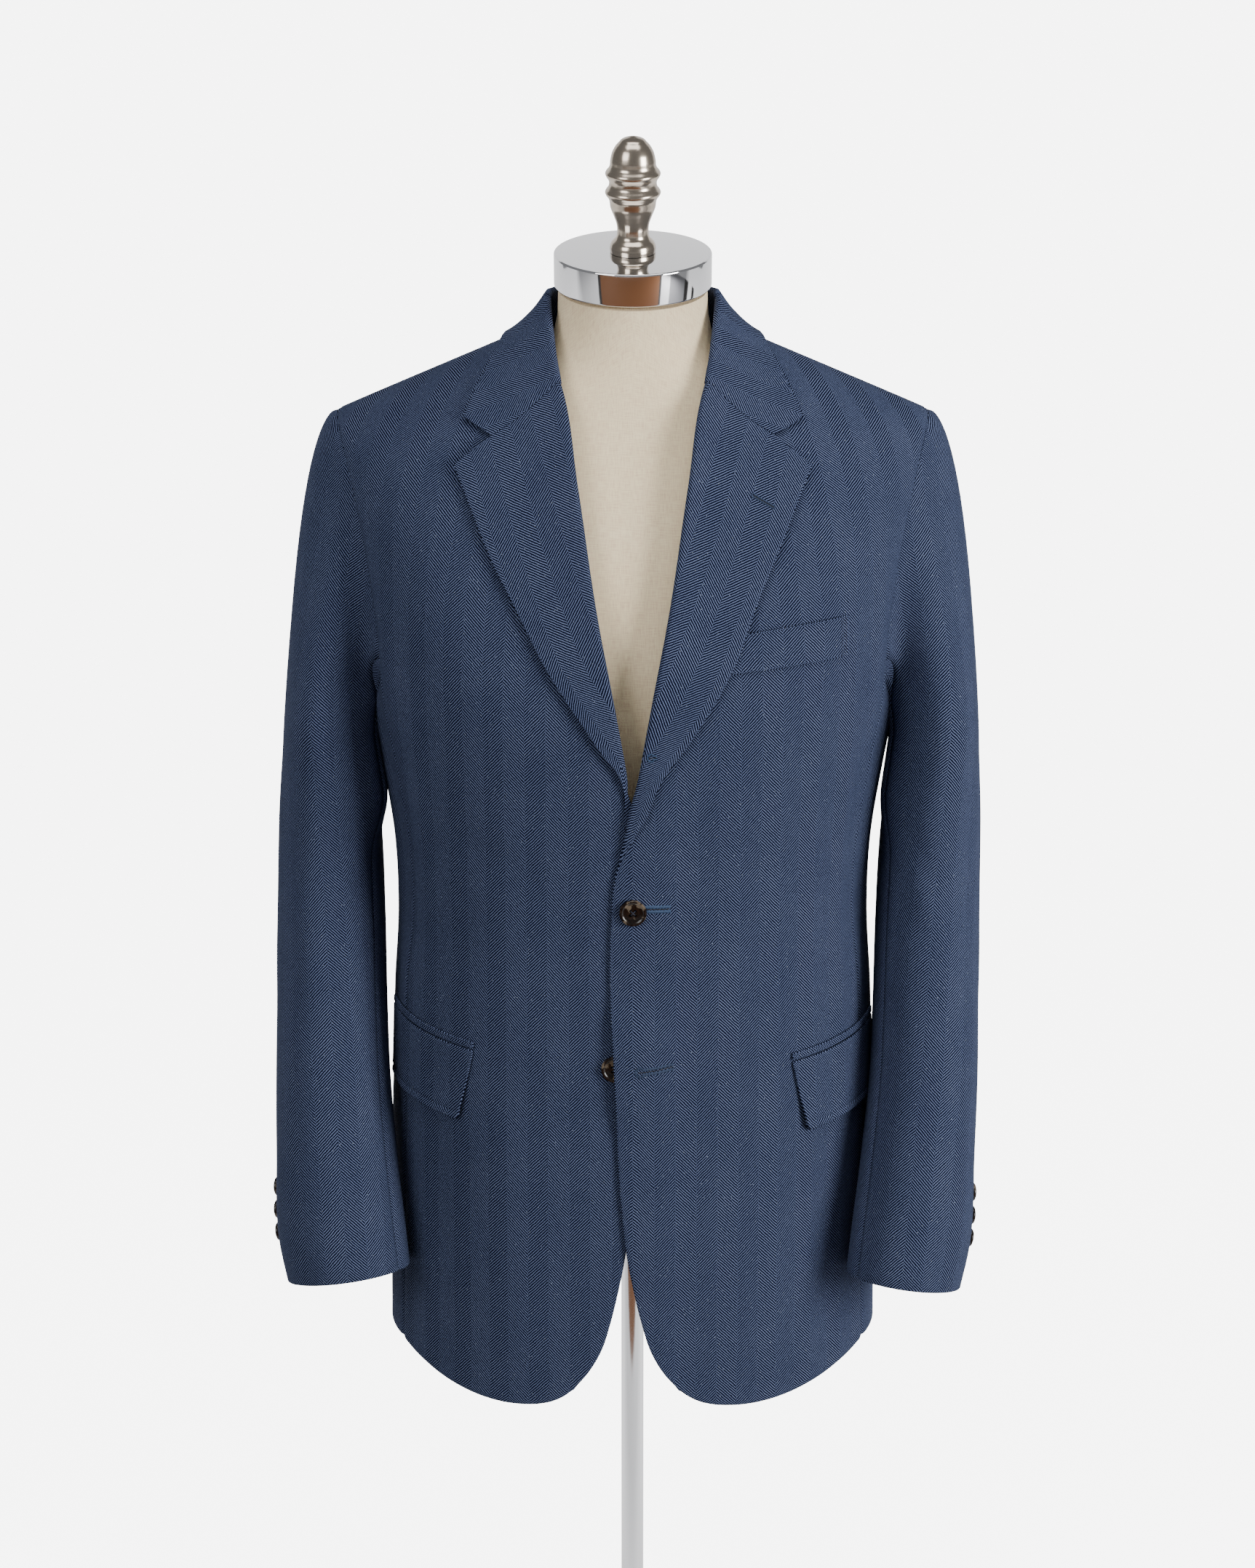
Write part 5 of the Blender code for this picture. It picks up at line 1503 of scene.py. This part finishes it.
def make_hole(name, piece, start, end, half, stitch, colour):
    start, end = np.array(start), np.array(end)
    length = np.linalg.norm(end - start)
    along = (end - start) / length
    over = np.array([-along[1], along[0]])
    spots, ways = hole_outline(length, half)
    inner = start + spots[:, :1] * along + spots[:, 1:] * over
    outer = inner + stitch * (ways[:, :1] * along + ways[:, 1:] * over)
    first, normals = on_piece(piece, inner[:, 0], inner[:, 1])
    last, _ = on_piece(piece, outer[:, 0], outer[:, 1])
    thread = twist_material("twist_" + name, colour)
    make_stitches("stitches_" + name, first, last, normals, TWIST_RADIUS, TWIST_RISE, thread)
    # Painted shadow: a dark thread along the middle of the slit
    middle = start + np.linspace(0.0006, length - 0.0004, 9)[:, None] * along
    line, line_normals = on_piece(piece, middle[:, 0], middle[:, 1])
    dark = twist_material("painted_slit_shadow_" + name, SLIT_SHADOW)
    make_stitches("painted_slit_shadow_" + name, line[:-1], line[1:], line_normals, SLIT_SHADOW_RADIUS, 0.0, dark)


# Real tacks, which together are also painted shadow of the welt's folded end
def make_welt_tacks_and_shadow():
    share = np.tile(np.linspace(0.05, 0.95, TACKS), len(TACK_AND_SHADOW_LINES))
    inwards = np.repeat(TACK_AND_SHADOW_LINES, TACKS)
    x = mix(WELT_BOTTOM[1][0], WELT_TOP[1][0], share) - inwards
    height = mix(WELT_BOTTOM[1][1], WELT_TOP[1][1], share) - inwards * 0.1
    starts, normals = on_piece(WELT, x, height - TACK_HALF)
    ends, _ = on_piece(WELT, x, height + TACK_HALF)
    thread = twist_material("navy_thread", NAVY_THREAD)
    make_stitches("welt_tacks_and_shadow", starts, ends, normals, TACK_RADIUS, TACK_RISE, thread)


for hole in HOLES:
    make_hole(*hole)
make_welt_tacks_and_shadow()


# Dress form. A limbless moulded torso covered in plain undyed linen, drawn tight and glued, with
# a bare neck. It fills the coat without touching it.

LINEN_COLOUR = (0.62, 0.51, 0.37, 1.0)
LINEN_GAPS = (0.80, 0.60, 0.38, 1.0)
LINEN_YARN = ((0.97, 0.79, 0.50, 1.0), (0.99, 0.85, 0.58, 1.0))
LINEN_THREAD = 0.0011
FORM = Sizes(
    ("height", "half_width", "front", "back", "y"),
    (
        (0.150, 0.168, 0.126, 0.118, 0.005),
        (0.200, 0.168, 0.128, 0.117, 0.005),
        (0.300, 0.164, 0.126, 0.102, 0.005),
        (0.370, 0.160, 0.126, 0.093, 0.005),
        (0.450, 0.164, 0.131, 0.097, 0.005),
        (0.530, 0.174, 0.136, 0.113, 0.005),
        (0.600, 0.182, 0.130, 0.122, 0.005),
        (0.660, 0.188, 0.112, 0.116, 0.005),
        (0.700, 0.187, 0.094, 0.100, 0.005),
        (0.735, 0.162, 0.078, 0.080, 0.005),
        (0.765, 0.108, 0.068, 0.066, 0.004),
        (0.790, 0.068, 0.060, 0.056, 0.003),
        (0.812, 0.058, 0.056, 0.053, 0.001),
        (0.8375, 0.056, 0.056, 0.056, 0.000),
    ),
)
NECK_TILT = math.radians(12.4)
FORM_ROWS = 72
FORM_SIDES = 96


def linen_material():
    """Plain weave of thick and thin undyed yarns."""
    material, shader = plain_material("undyed_linen", LINEN_COLOUR, 0.92)
    tree = material.node_tree
    place = laid_place(tree)
    apart = tree.nodes.new("ShaderNodeSeparateXYZ")
    tree.links.new(place, apart.inputs[0])
    stretched = []
    for scale in ((1700.0, 110.0, 1.0), (110.0, 1700.0, 1.0)):
        mapping = tree.nodes.new("ShaderNodeMapping")
        mapping.inputs["Scale"].default_value = scale
        tree.links.new(place, mapping.inputs["Vector"])
        stretched.append(noise_node(tree, mapping.outputs["Vector"], 1.0, 1.0))
    threads = math_node(tree, "ADD", *stretched)
    light = colour_mix(tree, noise_node(tree, place, 18.0, 3.0), *LINEN_YARN)
    yarns = colour_mix(tree, ramp_node(tree, threads, 0.60, 1.25), LINEN_GAPS, light)
    tree.links.new(yarns, shader.inputs["Base Color"])
    waves = []
    for way in ("X", "Y"):
        phase = math_node(tree, "MULTIPLY", apart.outputs[way], 2 * math.pi / LINEN_THREAD)
        waves.append(math_node(tree, "SINE", phase))
    height = math_node(tree, "ADD", math_node(tree, "MULTIPLY", *waves), threads)
    raised_by(tree, shader, height, 0.35, 0.0003)
    shader.inputs["Sheen Weight"].default_value = 0.1
    return material


def finished_mesh(name, shape, material, sharp):
    """The mesh of a hard shape, with a crisp edge where faces meet at more than sharp degrees."""
    bmesh.ops.recalc_face_normals(shape, faces=shape.faces)
    mesh = bpy.data.meshes.new(name)
    shape.to_mesh(mesh)
    shape.free()
    mesh.shade_smooth()
    mesh.set_sharp_from_angle(angle=math.radians(sharp))
    mesh.materials.append(material)
    return mesh


def make_form():
    heights = mix(FORM.key[0], FORM.key[-1], np.linspace(0, 1, FORM_ROWS))
    turn = np.linspace(0, 2 * math.pi, FORM_SIDES + 1)
    rows = []
    for height in heights:
        square = mix(2.4, 2.0, smooth((height - 0.70) / 0.09))
        across = np.sign(np.sin(turn)) * np.abs(np.sin(turn)) ** (2 / square)
        deep = np.sign(np.cos(turn)) * np.abs(np.cos(turn)) ** (2 / square)
        depth = np.where(deep > 0, FORM.at(height, "front"), FORM.at(height, "back"))
        y = FORM.at(height, "y") - deep * depth
        lean = smooth((height - 0.80) / (FORM.key[-1] - 0.80)) * math.tan(NECK_TILT)
        z = height + (y - FORM.at(height, "y")) * lean
        rows.append(np.stack([across * FORM.at(height, "half_width"), y, z], axis=-1))
    rows = np.array(rows)
    rows[..., 2] += HEM_ABOVE_FLOOR
    round_it = lengths_along(rows, 1)
    flat = np.stack([round_it, lengths_along(rows, 0)], axis=-1)
    whole_turn = np.stack([round_it[:, -1], 0 * round_it[:, -1]], axis=-1)
    shape = bmesh.new()
    layer = shape.loops.layers.uv.new("laid_flat")
    verts = [[shape.verts.new(rows[i, j]) for j in range(FORM_SIDES)] for i in range(FORM_ROWS)]
    for i in range(FORM_ROWS - 1):
        for j in range(FORM_SIDES):
            k = (j + 1) % FORM_SIDES
            face = shape.faces.new((verts[i][j], verts[i][k], verts[i + 1][k], verts[i + 1][j]))
            spots = np.array([flat[i, j], flat[i, j + 1], flat[i + 1, j + 1], flat[i + 1, j]])
            if j >= FORM_SIDES // 2:
                spots = spots - whole_turn[[i, i, i + 1, i + 1]]
            for loop, spot in zip(face.loops, spots):
                loop[layer].uv = spot
    for edge_row in (0, FORM_ROWS - 1):
        face = shape.faces.new([verts[edge_row][j] for j in range(FORM_SIDES)])
        for loop in face.loops:
            loop[layer].uv = (loop.vert.co.x, loop.vert.co.y)
    piece = placed("linen_form", finished_mesh("linen_form", shape, linen_material(), 50))
    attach(piece, "root")
    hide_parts("form_torso")


make_form()


# Neck cap and finial. A polished chrome disc closes the neck, and a turned finial in warm satin
# nickel is screwed to it.

CAP_RADIUS = 0.0592
CAP_HEIGHT = 0.025
CAP_TOP = 0.8645
CAP_SOFT = 0.0015
CAP_GAP = 0.0003
CHROME = (0.80, 0.80, 0.82, 1.0)
NICKEL = (0.52, 0.45, 0.37, 1.0)
FINIAL_STEPS = 109
FINIAL = Sizes(
    ("height", "radius"),
    (
        (0.000, 0.0170), (0.004, 0.0172), (0.0075, 0.0160), (0.011, 0.0128), (0.016, 0.0118),
        (0.022, 0.0124), (0.028, 0.0145), (0.034, 0.0168), (0.040, 0.0178), (0.0455, 0.0208),
        (0.0505, 0.0180), (0.0535, 0.0178), (0.0600, 0.0206), (0.0645, 0.0176), (0.0700, 0.0168),
        (0.0765, 0.0150), (0.0825, 0.0108), (0.0862, 0.0058), (0.0875, 0.0010),
    ),
)


def turned_piece(name, profile, steps, matrix, material, node):
    """A solid turned from a profile of radius and height, top to bottom."""
    shape = bmesh.new()
    turns = [2 * math.pi * k / steps for k in range(steps)]
    rings = []
    for radius, height in profile:
        spots = [(radius * math.cos(turn), radius * math.sin(turn), height) for turn in turns]
        rings.append([shape.verts.new(spot) for spot in (spots if radius > 0 else spots[:1])])
    for upper, lower in zip(rings, rings[1:]):
        for k in range(steps):
            after = (k + 1) % steps
            if len(upper) == 1:
                shape.faces.new((upper[0], lower[k], lower[after]))
            elif len(lower) == 1:
                shape.faces.new((upper[k], lower[0], upper[after]))
            else:
                shape.faces.new((upper[k], lower[k], lower[after], upper[after]))
    shape.transform(matrix)
    piece = placed(name, finished_mesh(name, shape, material, 40))
    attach(piece, "root")
    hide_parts(node)
    return piece


def metal_material(name, colour, roughness, wear):
    """Metal with faint smears, and finer turning marks where it is satin."""
    material, shader = plain_material(name, colour, roughness, 1.0)
    tree = material.node_tree
    place = tree.nodes.new("ShaderNodeTexCoord")
    smear = noise_node(tree, place.outputs["Object"], 26.0, 4.0)
    marks = math_node(tree, "MULTIPLY", smear, wear)
    tree.links.new(math_node(tree, "ADD", marks, roughness - wear / 2), shader.inputs["Roughness"])
    return material


def rounded(corners, soft, steps=5):
    """A profile whose corners, all but the first and last, are rounded by the given radius."""
    points = [corners[0]]
    for before, corner, after in zip(corners, corners[1:], corners[2:]):
        here = np.array(corner)
        start = here + unit(np.array(before) - here) * soft
        end = here + unit(np.array(after) - here) * soft
        for k in range(steps + 1):
            part = k / steps
            spot = start * (1 - part) ** 2 + here * 2 * part * (1 - part) + end * part**2
            points.append(tuple(spot))
    return points + [corners[-1]]


def on_neck(height):
    bottom = np.array([0.0, 0.0, CAP_TOP - CAP_HEIGHT * math.cos(NECK_TILT) + HEM_ABOVE_FLOOR])
    up = np.array([0.0, -math.sin(NECK_TILT), math.cos(NECK_TILT)])
    return Matrix.Translation(Vector(bottom + up * height)) @ Matrix.Rotation(NECK_TILT, 4, "X")


def make_cap_and_finial():
    chrome = metal_material("polished_chrome", CHROME, 0.06, 0.05)
    nickel = metal_material("satin_nickel", NICKEL, 0.22, 0.12)
    corners = [(0.0, CAP_HEIGHT), (CAP_RADIUS, CAP_HEIGHT), (CAP_RADIUS, 0.0), (0.0, 0.0)]
    cap = rounded(corners, CAP_SOFT)
    turned_piece("chrome_neck_cap", cap, 128, on_neck(CAP_GAP), chrome, "neck_cap")
    last = len(FINIAL.key) - 1
    heights = np.interp(np.linspace(0, last, FINIAL_STEPS), np.arange(last + 1), FINIAL.key)[::-1]
    outline = [(float(FINIAL.at(height, "radius")), float(height)) for height in heights]
    outline = [(0.0, float(heights[0]))] + outline + [(0.0, 0.0)]
    screwed_on = on_neck(CAP_HEIGHT + 2 * CAP_GAP)
    turned_piece("nickel_finial", outline, 72, screwed_on, nickel, "finial")


make_cap_and_finial()


# Post and base plate. A chromed steel tube is fixed in the underside of the form and in a heavy
# round steel plate, turned with a soft edge and chromed, that stands on the floor.

POST_RADIUS = 0.009
BASE_RADIUS = 0.160
BASE_HEIGHT = 0.016
BASE_SOFT = 0.004
CHROMED_STEEL = (0.78, 0.78, 0.80, 1.0)


def make_stand():
    chrome = metal_material("chromed_steel", CHROMED_STEEL, 0.10, 0.06)
    top = HEM_ABOVE_FLOOR + FORM.key[0] - CAP_GAP
    bottom = BASE_HEIGHT + CAP_GAP
    post = [(0.0, top), (POST_RADIUS, top), (POST_RADIUS, bottom), (0.0, bottom)]
    turned_piece("chrome_post", post, 64, Matrix.Identity(4), chrome, "post")
    base = rounded([(0.0, BASE_HEIGHT), (BASE_RADIUS, BASE_HEIGHT), (BASE_RADIUS, 0.0)], BASE_SOFT)
    base = base + [(0.0, 0.0)]
    turned_piece("chrome_base", base, 160, Matrix.Identity(4), chrome, "base")


make_stand()


# Buttons. Four-hole buttons of polished mottled horn with a raised rim: two on the front, where
# the lower one shows only past the edge of the left front, and three beside each sleeve vent.

BUTTON_RADIUS = 0.01025
CUFF_BUTTON_RADIUS = 0.0075
BUTTON_1 = (0.0, 0.3938)
CUFF_BUTTONS = (0.1545, 0.1390, 0.1235)
CUFF_BUTTON_TURN = -16.0
BUTTON_THICK = 0.0032
CUFF_BUTTON_THICK = 0.0028
CUFF_BUTTON_LIFT = 0.0009
BUTTON_FACE = 0.72        # height of the sunk face, by the thickness
EYELET_AT = 0.17          # place and radius of the four holes, by the button's radius
EYELET = 0.10
BUTTON_RIM = (
    # radius and height, by the button's radius and thickness
    (0.80, 1.0), (0.86, 1.02), (0.93, 1.0), (0.98, 0.82), (1.0, 0.62), (0.97, 0.25), (0.92, 0.0),
)
BLACK_HORN = (0.004, 0.002, 0.0015, 1.0)
BROWN_HORN = (0.016, 0.008, 0.005, 1.0)
PALE_HORN = (0.120, 0.092, 0.064, 1.0)


def horn_material():
    material, shader = plain_material("mottled_horn", (0.04, 0.02, 0.012, 1.0), 0.25)
    tree = material.node_tree
    place = tree.nodes.new("ShaderNodeTexCoord").outputs["Object"]
    swirl = noise_node(tree, place, 170.0, 3.0)
    streak = ramp_node(tree, noise_node(tree, place, 420.0, 2.0), 0.40, 0.75)
    dark = colour_mix(tree, streak, BLACK_HORN, BROWN_HORN)
    mottled = colour_mix(tree, ramp_node(tree, swirl, 0.55, 0.64), dark, PALE_HORN)
    tree.links.new(mottled, shader.inputs["Base Color"])
    wear = math_node(tree, "ADD", math_node(tree, "MULTIPLY", swirl, 0.2), 0.14)
    tree.links.new(wear, shader.inputs["Roughness"])
    shader.inputs["Specular IOR Level"].default_value = 0.3
    shader.inputs["Coat Weight"].default_value = 0.15
    shader.inputs["Coat Roughness"].default_value = 0.08
    return material


HORN = horn_material()
SEWING_THREAD = twist_material("sewing_thread", NAVY_THREAD)


def make_button(node, place, normal, radius, thick):
    """A button whose back is on the given point, with four drilled holes."""
    face = thick * BUTTON_FACE
    slope = (radius * 0.74, face + (thick - face) * 0.35)
    profile = [(0.0, face), (radius * 0.68, face), slope]
    profile += [(radius * out, thick * high) for out, high in BUTTON_RIM] + [(0.0, 0.0)]
    turn = Vector(normal).to_track_quat("Z", "Y").to_matrix().to_4x4()
    matrix = Matrix.Translation(Vector(place) + Vector((0, 0, HEM_ABOVE_FLOOR))) @ turn
    piece = turned_piece("horn_" + node, profile, 48, matrix, HORN, node)
    arm = radius * EYELET_AT
    drill = bmesh.new()
    for across in (-arm, arm):
        for along in (-arm, arm):
            bmesh.ops.create_cone(
                drill, cap_ends=True, segments=16, radius1=radius * EYELET, radius2=radius * EYELET,
                depth=thick * 3, matrix=matrix @ Matrix.Translation((across, along, thick / 2)),
            )
    mesh = bpy.data.meshes.new(node + "_drill")
    drill.to_mesh(mesh)
    drill.free()
    cutter = placed(node + "_drill", mesh)
    cut = piece.modifiers.new("holes", "BOOLEAN")
    cut.object = cutter
    whole = piece.evaluated_get(bpy.context.evaluated_depsgraph_get())
    drilled = bpy.data.meshes.new_from_object(whole)
    piece.modifiers.clear()
    piece.data = drilled
    bpy.data.objects.remove(cutter)
    corners = [(-arm, -arm, face), (arm, arm, face), (-arm, arm, face), (arm, -arm, face)]
    corners = np.array([matrix @ Vector(corner) for corner in corners])
    up = np.array([matrix.to_3x3() @ Vector((0, 0, 1))] * 2)
    starts, ends = corners[::2], corners[1::2]
    make_stitches("thread_" + node, starts, ends, up, radius * 0.045, radius * 0.05, SEWING_THREAD)


def make_buttons():
    for number, (spot, side) in enumerate(((BUTTON_1, 1), (BUTTON_2, -1)), start=1):
        place, normal = on_front(side, np.array(spot[0]), np.array(spot[1]), LIE)
        make_button("button_%d" % number, place, normal, BUTTON_RADIUS, BUTTON_THICK)
    for side, word in SIDES:
        for number, height in enumerate(CUFF_BUTTONS, start=1):
            around = CUFF_BUTTON_TURN + np.array([-8, 0, 8])
            heights = (height - 0.01, height, height + 0.01)
            rings = np.array([sleeve_ring(side, level, around) for level in heights])
            normal = unit(np.cross(rings[1, 2] - rings[1, 0], rings[2, 1] - rings[0, 1]))
            normal = normal if normal[0] * side > 0 else -normal
            place = rings[1, 1] + normal * CUFF_BUTTON_LIFT
            radius = CUFF_BUTTON_RADIUS - SEAM / 2
            name = "cuff_button_%s_%d" % (word, number)
            make_button(name, place, normal, radius, CUFF_BUTTON_THICK)


make_buttons()
